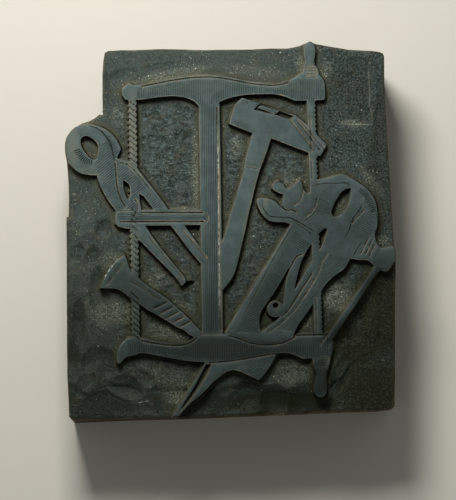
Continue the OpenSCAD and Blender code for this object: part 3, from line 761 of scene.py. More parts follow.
@dataclass
class Carving:
    """The carved side of the block: how high it stands, and how worn, at any place."""

    solids: dict[str, Solid]
    rim_drop: float = 0.08
    rim_width: float = 0.3
    shoulder: float = 0.11
    lean: float = 0.42
    arris_drop: float = 0.3
    arris_width: float = 0.6
    crease_drop: float = 0.14
    unevenness: float = 0.02
    gouge_gain: float = 1.3
    grid: float = 0.25
    tints: list[Tint] = field(default_factory=list)
    strokes: list[Stroke] = field(default_factory=list)
    scoops: list[Scoop] = field(default_factory=margin_scoops)
    chips: list[Scoop] = field(default_factory=floor_scoops)

    def __post_init__(self) -> None:
        """Measures the distance to every edge of the printing face and of the block."""
        chains = [line for solid in self.solids.values() for line in solid.lines]
        pairs = [np.stack([c[:-1], c[1:]], axis=1) for c in chains]
        self.relief = Field(np.concatenate(pairs))
        sides = []
        for solid in self.solids.values():
            loop = np.vstack([solid.loop, solid.loop[:1]])
            for a, b in zip(loop[:-1], loop[1:]):
                if not along_joint(a, b):
                    sides.append((a, b))
        self.block = Field(np.array(sides), step=0.2, reach=3.0)
        self._soften_ground()

    def _soften_ground(self, passes: int = 3) -> None:
        """Keeps the open ground's height on a grid, with its creases blurred."""
        low, high = (np.array(corner[:2]) / MM for corner in CAD_BOX)
        self.corner = low
        xs, ys = (np.arange(low[k], high[k] + self.grid, self.grid) for k in (0, 1))
        places = np.stack(np.meshgrid(xs, ys), axis=-1)
        heights = self.floor(places.reshape(-1, 2)).reshape(places.shape[:2])
        known = (heights < FACE - OPEN).astype(float)
        total = np.where(known > 0, heights, 0)
        for _ in range(passes):
            total, known = (blur(layer) for layer in (total, known))
        heights = total / np.maximum(known, 1e-9)
        while (known < 1e-6).any():
            total, spread = (blur(layer) for layer in (heights * (known > 1e-6), known))
            share = blur((known > 1e-6).astype(float))
            heights = np.where(known > 1e-6, heights, total / np.maximum(share, 1e-9))
            known = np.maximum(known, spread)
        self.ground = heights

    def floor(self, points: Points) -> Points:
        """Height of the CAD's surface under each point, also at the sides and the joints."""
        heights = np.full(len(points), np.nan)
        for shift in (0, 0.001, 0.004):
            for solid in self.solids.values():
                missing = np.isnan(heights)
                low, high = solid.loop[:, 1].min() - 0.2, solid.loop[:, 1].max() + 0.2
                missing &= (points[:, 1] > low) & (points[:, 1] < high)
                heights[missing] = solid.floor(points[missing] * (1 - shift))
        return np.where(np.isnan(heights), FACE - USUAL, heights)

    def _open_ground(self, points: Points) -> Points:
        """Softened height of the open ground at each point, with its creases made to wander."""
        sway = np.stack([ripple(points, 4.5, 51), 1.3 * ripple(points, 3.6, 52)], axis=1)
        calm = smooth(0.4, 1.2, self.relief.at(points))[:, None]
        return read_grid(self.ground, self.corner, self.grid, points + sway * calm)

    def tinted(self, points: Points, edge: Points) -> Points:
        """How far each point lies in the part of the face that has tint lines, from 0 to 1."""
        return np.max([tint.strength(points, edge) for tint in self.tints], axis=0)

    def tint_share(self, points: Points, edge: Points) -> Points:
        """How deep in a tint line or a stroke each point lies, from 0 to 1."""
        share = np.zeros(len(points))
        for tint in self.tints:
            share = np.maximum(share, tint.cut(points, edge))
        for stroke in self.strokes:
            share = np.maximum(share, stroke.cut(points) / stroke.depth)
        return share

    def height(self, points: Points, edge: Points) -> Points:
        """Height of the carved surface.

        Args:
            points: Places on the block.
            edge: Signed distance from each to the nearest edge of the printing face.

        Returns:
            The heights above the base.
        """
        side = self.block.at(points)
        floor = self.floor(points)
        on_face = edge <= 0
        ground = (floor < FACE - OPEN) & ~on_face
        open_floor = self._open_ground(points) - self._tool_marks(points, edge)
        creased = self.crease_drop * np.clip(-self.marked(points), 0, 1)
        open_floor = open_floor - self._sunken(points) - creased
        floor = np.where(ground, np.minimum(open_floor, FACE - SHALLOWEST), floor)
        worn = self.rim_drop * (1 - smooth(0, self.rim_width, -edge))
        worn = worn * (1 + 0.5 * ripple(points, 1.3, 3))
        top = FACE - worn - self.unevenness * (1 + ripple(points, 5, 5))
        for tint in self.tints:
            top = top - tint.depth * tint.cut(points, edge)
        for stroke in self.strokes:
            top = top - stroke.cut(points)
        west, south = self._facing(points)
        reach = self.shoulder + self.lean * np.clip(np.maximum(west, -south) - 0.15, 0, 1)
        reach = reach * (1 + 0.35 * ripple(points, 1.6, 41))
        slope = 1 - (1 - np.clip(edge / reach, 0, 1)) ** 2
        height = np.where(on_face, top, top * (1 - slope) + np.minimum(floor, top) * slope)
        arris = self.arris_drop * (1 + 0.6 * ripple(points, 2.2, 8))
        return height - arris * (1 - smooth(0, self.arris_width, -side)) ** 2

    def marked(self, points: Points) -> Points:
        """How bright or dark the thin lines leave each point, from -1 to 1."""
        marks = np.zeros(len(points))
        for ledge in LEDGES:
            ledge.mark(points, marks)
        return np.clip(marks, -1, 1)

    def _sunken(self, points: Points, depth: float = 0.3) -> Points:
        """How much lower the ground lies near the upper right corner."""
        picture = points - PICTURE_SHIFT
        fade = smooth(19, 24, picture[:, 0]) * smooth(35.5, 31, picture[:, 1])
        return depth * fade * smooth(-0.08, 0.08, inside(picture, RECESS))

    def _framed(self, points: Points) -> Points:
        """How far each point lies on the ground between the tools, from 0 to 1."""
        x, y = (points - PICTURE_SHIFT).T
        framed = smooth(-24, -21, x) * smooth(-30, -26, y)
        return framed * (1 - smooth(18, 28, x + 0.35 * y)) * (1 - smooth(27, 29, y))

    def _grainy(self, points: Points) -> Points:
        """How coarse the ground is at each point: most between the tools and on the right."""
        x, y = (points - PICTURE_SHIFT).T
        bottom = smooth(-29.5, -31.5, y) * smooth(22, 16, x)
        return np.maximum(self._framed(points), smooth(9, 18, x)) * (1 - bottom)

    def _marked(self, points: Points, hollows: list[Scoop]) -> tuple[Points, Points, Points]:
        """Depth of a set of hollows, the tone of each, and how near a ridge between two is."""
        cut, over, tone = np.zeros(len(points)), np.zeros(len(points)), np.full(len(points), 0.5)
        for hollow in hollows:
            hollow.lower(points, cut, over, tone)
        return cut, tone, smooth(0.06, 0.0, cut - over) * (cut > 0.03)

    def _gouged(self, points: Points) -> tuple[Points, Points, Points]:
        """Depth of the gouge marks at each point, their tone, and how near a ridge is."""
        framed = self._framed(points)
        marks, chips = self._marked(points, self.scoops), self._marked(points, self.chips)
        tone, ridge = (marks[k] * (1 - framed) + chips[k] * framed for k in (1, 2))
        return self.gouge_gain * marks[0] + chips[0] * framed, tone, ridge

    def _tool_marks(self, points: Points, edge: Points) -> Points:
        """How much lower gouge marks and roughness take the open ground."""
        framed = self._framed(points)
        rough = 0.04 * ripple(points, 0.6, 22) + 0.07 * ripple(points, 3.3, 23)
        calm = 0.02 * ripple(points, 0.7, 24) + 0.07 * ripple(points, 2.6, 25)
        clear = smooth(0.1, 0.5, edge)
        return clear * (self._gouged(points)[0] + rough * framed + calm * (1 - framed))

    def finish_layers(self, points: Points) -> dict[str, Points]:
        """What the finish depends on at each point, by the name of its layer."""
        edge = self.relief.at(points)
        picture = points - PICTURE_SHIFT
        # Rises towards the foot: painted shade for the light falling off there, with fresher ink
        low = smooth(8, -24, picture[:, 1])
        drop = FACE - self.floor(points)
        west, south = self._facing(points)
        _, tone, ridge = self._gouged(points)
        return {
            "west": west,
            "south": south,
            # Share of painted shadow below and right of the edges
            "painted_shadow_share": self._painted_shadow_share(points),
            "worn": strongest(WORN, points),
            "lined": strongest(LINED, points),
            "edge_mm": edge,
            "tint": self.tint_share(points, edge),
            "side_mm": -self.block.at(points),
            "dust": strongest(DUSTY, points),
            "ink": np.clip(0.56 * low + strongest(INK_AND_SHADE, points), 0, 1),
            "line": ((drop > CUT_BOTTOM[0]) & (drop < CUT_BOTTOM[1])).astype(float),
            "seam": self._seam(points),
            "tone": tone,
            "ridge": ridge,
            "framed": self._framed(points),
            "grain": self._grainy(points),
            "ledge": self.marked(points),
        }

    def _facing(self, points: Points, step: float = 0.15) -> tuple[Points, Points]:
        """How far the nearest edge of the face looks left and to the foot, from -1 to 1."""
        slope = [
            self.relief.at(points + shift) - self.relief.at(points - shift)
            for shift in (np.array([step, 0]), np.array([0, step]))
        ]
        length = np.maximum(np.hypot(*slope), 1e-6)
        return -slope[0] / length, -slope[1] / length

    def _painted_shadow_share(self, points: Points) -> Points:
        """How close below and right of an edge each point lies, from 0 to 1: the share of painted
        shadow, cast away from the lamp.
        """
        shade = np.zeros(len(points))
        for reach in (0.25, 0.4, 0.55, 0.7, 0.9):
            under = self.relief.at(points + reach * np.array([-0.5, 0.87])) <= 0
            shade = np.maximum(shade, under * (1 - reach / 1.2))
        return shade

    def _seam(self, points: Points) -> Points:
        """How near each point lies to a glue line that shows."""
        near = np.abs(points[:, 1] - Joint.LOWER.place)
        shown = smooth(-15, -20, points[:, 0]) * (0.6 + 0.4 * ripple(points, 2.5, 31))
        return smooth(0.14, 0.02, near) * np.clip(shown, 0, 1)


@dataclass
class Strip:
    """One strip of end-grain boxwood, with its carved side."""

    name: str
    carving: Carving
    grooves: list[Joint]
    top_height: float = 20.5
    edge_step: float = 0.2
    ground_step: float = 0.24
    face_step: float = 0.6
    joint_step: float = 0.15
    rim_step: float = 0.35
    least_offset: float = 0.82
    sharp_angle: float = 38
    glue_room: float = 0.3
    groove_past: float = 5
    past_joints: float = 30
    row_margin: float = 0.05
    tint_margin: float = 0.04
    tint_inset: float = 0.12
    ledge_margin: float = 0.1
    ledge_clear: float = 0.6
    loose_margin: float = 0.12
    loose_clear: float = 0.4
    least_tint: float = 0.05
    jitter: float = 0.3
    flush: float = 0.02
    downward: float = -0.9
    weld: float = 1e-7
    offsets: tuple[float, ...] = (0.11, 0.32, 0.54, -0.1, -0.3)
    points: list = field(default_factory=list)
    edges: list = field(default_factory=list)
    known: list = field(default_factory=list)

    @property
    def solid(self) -> Solid:
        """The strip's CAD solid."""
        return self.carving.solids[self.name]

    def build(self, finishes: list[bpy.types.Material]) -> Piece:
        """Makes the strip's mesh and puts it in the place of its CAD node.

        Args:
            finishes: The finishes of its carved face, its sides and its base.

        Returns:
            The finished piece.
        """
        rim = self._rim()
        self._add_row(rim, closed=True)
        self._add_relief()
        self._add_tint()
        self._add_ledges()
        self._scatter()
        places, triangles, edge = self._triangulate(rim)
        heights = np.minimum(self.carving.height(places, edge), FACE)
        mesh = self._close(places, heights, triangles)
        piece = add_object(f"{self.name}_wood", mesh)
        for finish in finishes:
            mesh.materials.append(finish)
        self._record(mesh)
        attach(piece, "root")
        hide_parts(self.name)
        LOG.info("%s: %d faces", piece.name, len(mesh.polygons))
        return piece

    def _rim(self) -> Points:
        """Outline of the carved side: the strip's, drawn out where its foot side leans."""
        loop = self.solid.loop
        closed = np.vstack([loop, loop[:1]])
        rim = []
        for a, b in zip(closed[:-1], closed[1:]):
            step = self.joint_step if along_joint(a, b) else self.rim_step
            count = max(1, math.ceil(np.hypot(*(b - a)) / step))
            rim += [a + (b - a) * k / count for k in range(count)]
        rim = np.array(rim)
        side = self.solid.foot_y(rim[:, 0], self.solid.slice_height)
        leaning = np.abs(rim[:, 1] - side) < self.flush
        drawn = np.maximum(self.solid.foot_y(rim[:, 0], self.top_height), CAD_BOX[0][1] / MM)
        rim[leaning, 1] = drawn[leaning]
        return rim

    def _add_points(self, places: Points, known: float = np.nan) -> None:
        """Adds points, with their distance to an edge of the printing face if it is known."""
        self.points += [tuple(p) for p in places]
        self.known += [known] * len(places)

    def _add_row(self, row: Points, closed: bool = False, known: float = np.nan) -> None:
        """Adds points that follow each other, joined by edges that the mesh must keep."""
        first = len(self.points)
        self._add_points(row, known)
        last = len(self.points) - 1
        self.edges += [(i, i + 1) for i in range(first, last)]
        if closed:
            self.edges.append((last, first))

    def _within(self, points: Points, margin: float) -> Points:
        """Which points lie inside the strip by the margin at least."""
        low, high = self.solid.loop[:, 1].min(), self.solid.loop[:, 1].max()
        clear = (points[:, 1] > low + margin) | (low < -self.past_joints)
        clear = clear & ((points[:, 1] < high - margin) | (high > self.past_joints))
        return clear & (self.carving.block.at(points) < -margin)

    def _add_relief(self) -> None:
        """Adds the edges of the printing face, and rows beside them for rims and shoulders."""
        for line in self.solid.lines:
            row = filled(line, self.edge_step)
            closed = np.allclose(row[0], row[-1])
            self._add_row(row[:-1] if closed else row, closed=closed, known=0.0)
            after = np.roll(row[:-1], -1, axis=0) if closed else row[1:]
            ahead = np.vstack([after, row[1:2] if closed else 2 * row[-1:] - row[-2:-1]])
            behind = np.vstack([row[-2:-1] if closed else 2 * row[:1] - row[1:2], row[:-1]])
            along = ahead[: len(row)] - behind[: len(row)]
            outward = np.stack([along[:, 1], -along[:, 0]], axis=1)
            outward /= np.maximum(np.hypot(*outward.T), 1e-9)[:, None]
            for offset in self.offsets:
                beside = row + offset * outward
                found = self.carving.relief.at(beside)
                good = (found / offset > self.least_offset) & self._within(beside, self.row_margin)
                for run in runs(beside, good):
                    self._add_row(run)

    def _add_tint(self) -> None:
        """Adds the tint lines and short strokes that cross this strip."""
        rows = [row for tint in self.carving.tints for row in tint.strokes(self.carving.relief)]
        rows += [row for stroke in self.carving.strokes for row in stroke.rows()]
        for row in rows:
            edge = self.carving.relief.at(row)
            for run in runs(row, (edge < -self.tint_inset) & self._within(row, self.tint_margin)):
                self._add_row(run)

    def _add_ledges(self) -> None:
        """Adds rows along the thin lines in the ground."""
        for ledge in LEDGES:
            for row in ledge.rows():
                clear = self.carving.relief.at(row) > self.ledge_clear
                for run in runs(row, clear & self._within(row, self.ledge_margin)):
                    self._add_row(run)

    def _scatter(self) -> None:
        """Adds loose points over the ground and, further apart, over plain faces."""
        rng = np.random.default_rng(5)
        low, high = self.solid.loop.min(axis=0), self.solid.loop.max(axis=0)
        for step, raised in ((self.ground_step, False), (self.face_step, True)):
            xs, ys = np.arange(low[0], high[0], step), np.arange(low[1] - 0.5, high[1], step)
            cloud = np.stack(np.meshgrid(xs, ys), axis=-1).reshape(-1, 2)
            cloud += rng.uniform(-self.jitter, self.jitter, cloud.shape) * step
            edge = self.carving.relief.at(cloud)
            wanted = edge < -self.loose_clear if raised else edge > self.loose_clear
            wanted = wanted & self._within(cloud, self.loose_margin)
            if raised:
                wanted = wanted & (self.carving.tinted(cloud, edge) < self.least_tint)
            self._add_points(cloud[wanted])

    def _triangulate(self, rim: Points) -> tuple[Points, Points, Points]:
        """Joins all points by triangles that keep every row.

        Args:
            rim: Outline of the carved side.

        Returns:
            Places, triangles inside the outline, and the distance of each place to an edge of
            the printing face.
        """
        result = delaunay_2d_cdt([Vector(p) for p in self.points], self.edges, [], 0, 1e-5, True)
        places = np.array([tuple(v) for v in result[0]])
        triangles = np.array(result[2])
        middles = places[triangles].mean(axis=1)
        near = inside(middles, [tuple(p) for p in rim]) > 0
        edge = self.carving.relief.at(places)
        known = np.array(self.known)
        for i, sources in enumerate(result[3]):
            given = [known[s] for s in sources if not math.isnan(known[s])]
            if given:
                edge[i] = given[0]
        return places, triangles[near], edge

    def _close(self, places: Points, heights: Points, triangles: Points) -> Mesh:
        """Adds the sides and the base, with the grooves for the tongues.

        Args:
            places: Points of the carved side.
            heights: Their heights.
            triangles: The faces between them.

        Returns:
            The closed mesh, in metres.
        """
        low = self.solid.slice_height
        work = bmesh.new()
        verts = [work.verts.new((x * MM, y * MM, z * MM)) for (x, y), z in zip(places, heights)]
        for a, b, c in triangles:
            work.faces.new((verts[a], verts[b], verts[c]))
        for vert in [v for v in work.verts if not v.link_faces]:
            work.verts.remove(vert)
        rows = [e for e in work.edges if e.is_boundary]
        skirt = bmesh.ops.extrude_edge_only(work, edges=rows)["geom"]
        for vert in (v for v in skirt if isinstance(v, bmesh.types.BMVert)):
            x, y = vert.co.x / MM, vert.co.y / MM
            vert.co = Vector((x, self._side_y(x, y, low), low)) * MM
        bottom = [e for e in work.edges if e.is_boundary]
        self._join_body(work, bottom, low)
        bmesh.ops.remove_doubles(work, verts=work.verts, dist=self.weld)
        bmesh.ops.recalc_face_normals(work, faces=work.faces)
        mesh = finished(work, f"{self.name}_wood")
        mesh.polygons.foreach_set("use_smooth", [True] * len(mesh.polygons))
        mesh.set_sharp_from_angle(angle=math.radians(self.sharp_angle))
        return mesh

    def _side_y(self, x: float, y: float, z: float) -> float:
        """Where a point of the outline lies lower down on the strip's side."""
        return max(y, float(self.solid.foot_y(np.array([x]), z)[0]))

    def _join_body(self, work: bmesh.types.BMesh, ring: list, top: float) -> None:
        """Puts the plain body under the carved part, grooved for its tongues.

        Args:
            work: The mesh of the carved part, open at the height top.
            ring: Its lower edges.
            top: Height of those edges.
        """
        order = {}
        for edge in ring:
            a, b = edge.verts
            order.setdefault(a, []).append(b)
            order.setdefault(b, []).append(a)
        loop = [ring[0].verts[0], ring[0].verts[1]]
        while len(loop) < len(order):
            loop.append(next(v for v in order[loop[-1]] if v is not loop[-2]))
        upper = [tuple(v.co) for v in loop]
        lower = [(x, self._side_y(x / MM, y / MM, 0) * MM, 0) for x, y, _ in upper]
        count = len(upper)
        faces = [tuple(range(count)), tuple(range(2 * count - 1, count - 1, -1))]
        faces += [(i, i + count, (i + 1) % count + count, (i + 1) % count) for i in range(count)]
        mesh = bpy.data.meshes.new("body")
        mesh.from_pydata(upper + lower, [], faces)
        body = add_object("body", mesh)
        cutters = [self._groove(joint) for joint in self.grooves]
        for cutter in cutters:
            cut = body.modifiers.new(cutter.name, "BOOLEAN")
            cut.operation, cut.object, cut.solver = "DIFFERENCE", cutter, "EXACT"
        ready = body.evaluated_get(bpy.context.evaluated_depsgraph_get()).to_mesh()
        first = len(work.verts)
        work.from_mesh(ready)
        work.verts.ensure_lookup_table()
        lid = [f for f in work.faces if all(abs(v.co.z - top * MM) < self.weld for v in f.verts)]
        bmesh.ops.delete(work, geom=lid, context="FACES_ONLY")
        LOG.info("%s: %d points below the carving", self.name, len(work.verts) - first)
        for helper in [body, *cutters]:
            bpy.data.objects.remove(helper)

    def _groove(self, joint: Joint) -> Piece:
        """Box that cuts the groove for one tongue, with the room for glue past its edge."""
        low, high = (np.array(corner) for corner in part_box(joint.value))
        past = np.array([self.groove_past, self.glue_room, 0]) * MM
        low, high = low - past, high + past
        work = bmesh.new()
        size = Matrix.Diagonal((*(high - low), 1))
        bmesh.ops.create_cube(work, size=1, matrix=Matrix.Translation((low + high) / 2) @ size)
        return add_object("groove", finished(work, "groove"))

    def _record(self, mesh: Mesh) -> None:
        """Keeps on the mesh what its finish depends on at each point."""
        co = np.array([v.co for v in mesh.vertices]) / MM
        for name, values in self.carving.finish_layers(co[:, :2]).items():
            layer = mesh.attributes.new(name, "FLOAT", "POINT")
            layer.data.foreach_set("value", values.astype(np.float32))
        skirt = (self.solid.slice_height + 0.01) * MM
        for face in mesh.polygons:
            if face.normal.z < self.downward:
                face.material_index = 2
            elif any(mesh.vertices[i].co.z < skirt for i in face.vertices):
                face.material_index = 1


class Web:
    """Lays shader nodes in one tree and joins them."""

    def __init__(self, tree: Tree, material: bpy.types.Material | None = None) -> None:
        """Starts on a tree, which may be a material's own."""
        self.tree = tree
        self.material = material

    def node(self, kind: str, inputs: dict | None = None, **settings: object) -> Node:
        """Adds a node.

        Args:
            kind: Its type.
            inputs: What its inputs get, by their names or numbers.
            settings: Properties to set on it.

        Returns:
            The node.
        """
        made = self.tree.nodes.new(kind)
        for name, value in settings.items():
            setattr(made, name, value)
        for key, value in (inputs or {}).items():
            self.give(made.inputs[key], value)
        return made

    def give(self, socket: Socket, value: object) -> None:
        """Feeds a socket from another socket, or sets its own value."""
        if isinstance(value, Socket):
            self.tree.links.new(value, socket)
        else:
            socket.default_value = value

    def math(self, operation: str, a: object, b: object = 0.0, clamp: bool = False) -> Socket:
        """One step of arithmetic on two values."""
        made = self.node("ShaderNodeMath", {0: a, 1: b}, operation=operation, use_clamp=clamp)
        return made.outputs[0]

    def times(self, a: object, b: object, clamp: bool = False) -> Socket:
        """Product of two values."""
        return self.math("MULTIPLY", a, b, clamp)

    def plus(self, a: object, b: object) -> Socket:
        """Sum of two values."""
        return self.math("ADD", a, b)

    def rest(self, a: object) -> Socket:
        """What a value lacks to 1."""
        return self.math("SUBTRACT", 1.0, a)

    def rise(self, value: object, low: float, high: float) -> Socket:
        """Smooth rise from 0 to 1 as the value goes from low to high."""
        limits = {"Value": value, "From Min": low, "From Max": high}
        return self.node("ShaderNodeMapRange", limits, interpolation_type="SMOOTHSTEP").outputs[0]

    def blend(self, share: object, a: object, b: object) -> Socket:
        """Mixes two colours by the share of the second."""
        made = self.node("ShaderNodeMix", {"Factor": share, 6: a, 7: b}, data_type="RGBA")
        return made.outputs[2]

    def cover(self, under: object, over: object, share: object, most: object) -> Socket:
        """Lays one colour over another.

        Args:
            under: The colour below.
            over: The colour on top.
            share: Where the top colour lies, from 0 to 1.
            most: How much of it shows there.

        Returns:
            The colour of both.
        """
        return self.blend(self.times(share, most), under, over)

    def dress(self, shader: Node, colour: object, least: float, more: object, by: float) -> None:
        """Gives a shader its colour, and a roughness that starts at the least and goes up.

        Args:
            shader: The shader.
            colour: Its colour.
            least: The lowest roughness.
            more: Where the surface is rougher, from 0 to 1.
            by: How much rougher it is there.
        """
        self.give(shader.inputs["Base Color"], colour)
        self.give(shader.inputs["Roughness"], self.plus(least, self.times(more, by)))

    def noise(
        self, place: object, scale: float, detail: float = 3, roughness: float = 0.6
    ) -> Socket:
        """Soft noise at a place."""
        form = {"Vector": place, "Scale": scale, "Detail": detail, "Roughness": roughness}
        return self.node("ShaderNodeTexNoise", form).outputs[0]

    def vector(self, operation: str, *parts: object) -> Socket:
        """One step of arithmetic on vectors: a vector, or a number for their length."""
        made = self.node("ShaderNodeVectorMath", dict(enumerate(parts)), operation=operation)
        return made.outputs["Value" if operation == "LENGTH" else "Vector"]

    def scaled(self, place: object, factors: tuple[float, float, float]) -> Socket:
        """A place with its three parts multiplied."""
        return self.vector("MULTIPLY", place, factors)

    def seen(self, name: str, low: float, high: float) -> Socket:
        """Smooth rise from 0 to 1 as a value of the mesh goes from low to high."""
        return self.rise(self.attribute(name), low, high)

    def attribute(self, name: str) -> Socket:
        """A value that the mesh keeps at each point."""
        return self.node("ShaderNodeAttribute", attribute_name=name).outputs["Fac"]

    def bump(self, shader: Node, height: object, depth: float, strength: float) -> None:
        """Roughens the shader's surface.

        Args:
            shader: The shader.
            height: How high the surface stands, from 0 to 1.
            depth: What a height of 1 means, in millimetres.
            strength: How much of it shows.
        """
        form = {"Distance": depth * MM, "Strength": strength, "Height": height}
        self.give(shader.inputs["Normal"], self.node("ShaderNodeBump", form).outputs[0])

    def group(self, tree: Tree, **inputs: object) -> dict[str, Socket]:
        """Places a node group, with its inputs by their names, and gives its outputs."""
        return self.node("ShaderNodeGroup", inputs, node_tree=tree).outputs


def start_group(
    name: str, inputs: dict[str, object], outputs: dict[str, str]
) -> tuple[Web, dict, dict]:
    """Starts a shader node group.

    Args:
        name: What the group is called.
        inputs: Input names, each with a default number, colour or None for a vector.
        outputs: Output names, each with its socket type.

    Returns:
        The web of its tree, its input sockets and its output sockets, by name.
    """
    tree = bpy.data.node_groups.new(name, "ShaderNodeTree")
    for label, value in inputs.items():
        kind = "NodeSocketVector" if value is None else "NodeSocketFloat"
        socket = tree.interface.new_socket(label, in_out="INPUT", socket_type=kind)
        if value is not None:
            socket.default_value = value
    for label, kind in outputs.items():
        tree.interface.new_socket(label, in_out="OUTPUT", socket_type=kind)
    web = Web(tree)
    entry, leave = web.node("NodeGroupInput"), web.node("NodeGroupOutput")
    given, out = ({s.name: s for s in ends if s.name} for ends in (entry.outputs, leave.inputs))
    return web, given, out


def start_material(name: str) -> tuple[Web, Node, Socket]:
    """Starts a material.

    Args:
        name: What it is called.

    Returns:
        The web of its nodes, its shader, and the place on the object in millimetres.
    """
    made = bpy.data.materials.new(name)
    made.use_nodes = True
    web = Web(made.node_tree, made)
    place = web.scaled(web.node("ShaderNodeTexCoord").outputs["Object"], (1 / MM,) * 3)
    return web, made.node_tree.nodes["Principled BSDF"], place


@dataclass
class Effects:
    """Effects that the finishes share."""

    def __post_init__(self) -> None:
        """Builds each group once."""
        self.specks = self._specks()
        self.fibres = self._fibres()

    def _specks(self) -> Tree:
        """Dust in small separate grains, thicker where the noise is high."""
        web, given, out = start_group(
            "Specks", {"Place": None, "Scale": 1.5, "Amount": 0.5}, {"Mask": "NodeSocketFloat"}
        )
        grid = {"Vector": given["Place"], "Scale": given["Scale"]}
        cells = web.node("ShaderNodeTexVoronoi", grid, feature="F1")
        lot = web.node("ShaderNodeSeparateColor", {0: cells.outputs["Color"]})
        patchy = web.noise(given["Place"], 0.5, 4)
        share = web.times(given["Amount"], web.rise(patchy, 0.3, 0.62))
        chosen = web.math("LESS_THAN", lot.outputs[0], share)
        core = web.rest(web.rise(cells.outputs["Distance"], 0.12, 0.42))
        web.give(out["Mask"], web.times(chosen, core))
        return web.tree

    def _fibres(self) -> Tree:
        """Wood fibres that run along Z, with growth rings across them."""
        web, given, out = start_group(
            "Fibres",
            {"Place": None, "Ring": 1.6},
            {"Rings": "NodeSocketFloat", "Fibres": "NodeSocketFloat"},
        )
        wobble = web.noise(web.scaled(given["Place"], (1, 1, 0.08)), 0.12, 2)
        pushes = {0: web.times(wobble, 6.0), 1: web.times(wobble, 9.0)}
        push = web.node("ShaderNodeCombineXYZ", pushes).outputs[0]
        bent = web.vector("ADD", web.scaled(given["Place"], (1, 1, 0.02)), push)
        turn = web.math("DIVIDE", web.vector("LENGTH", bent), given["Ring"])
        web.give(out["Rings"], web.math("POWER", web.math("FRACT", turn), 3.0))
        web.give(out["Fibres"], web.noise(web.scaled(given["Place"], (1, 1, 0.05)), 5.0, 3, 0.7))
        return web.tree


def dark(red: float, green: float, blue: float) -> tuple[float, float, float, float]:
    """Colour as the shader takes it, from the values 0 to 255 that a screen shows."""
    shown = np.array([red, green, blue]) / 255
    linear = np.where(shown <= 0.04045, shown / 12.92, ((shown + 0.055) / 1.055) ** 2.4)
    return (*(float(v) for v in linear), 1.0)


# Gloss of inked and handled wood
DULL = 0.15


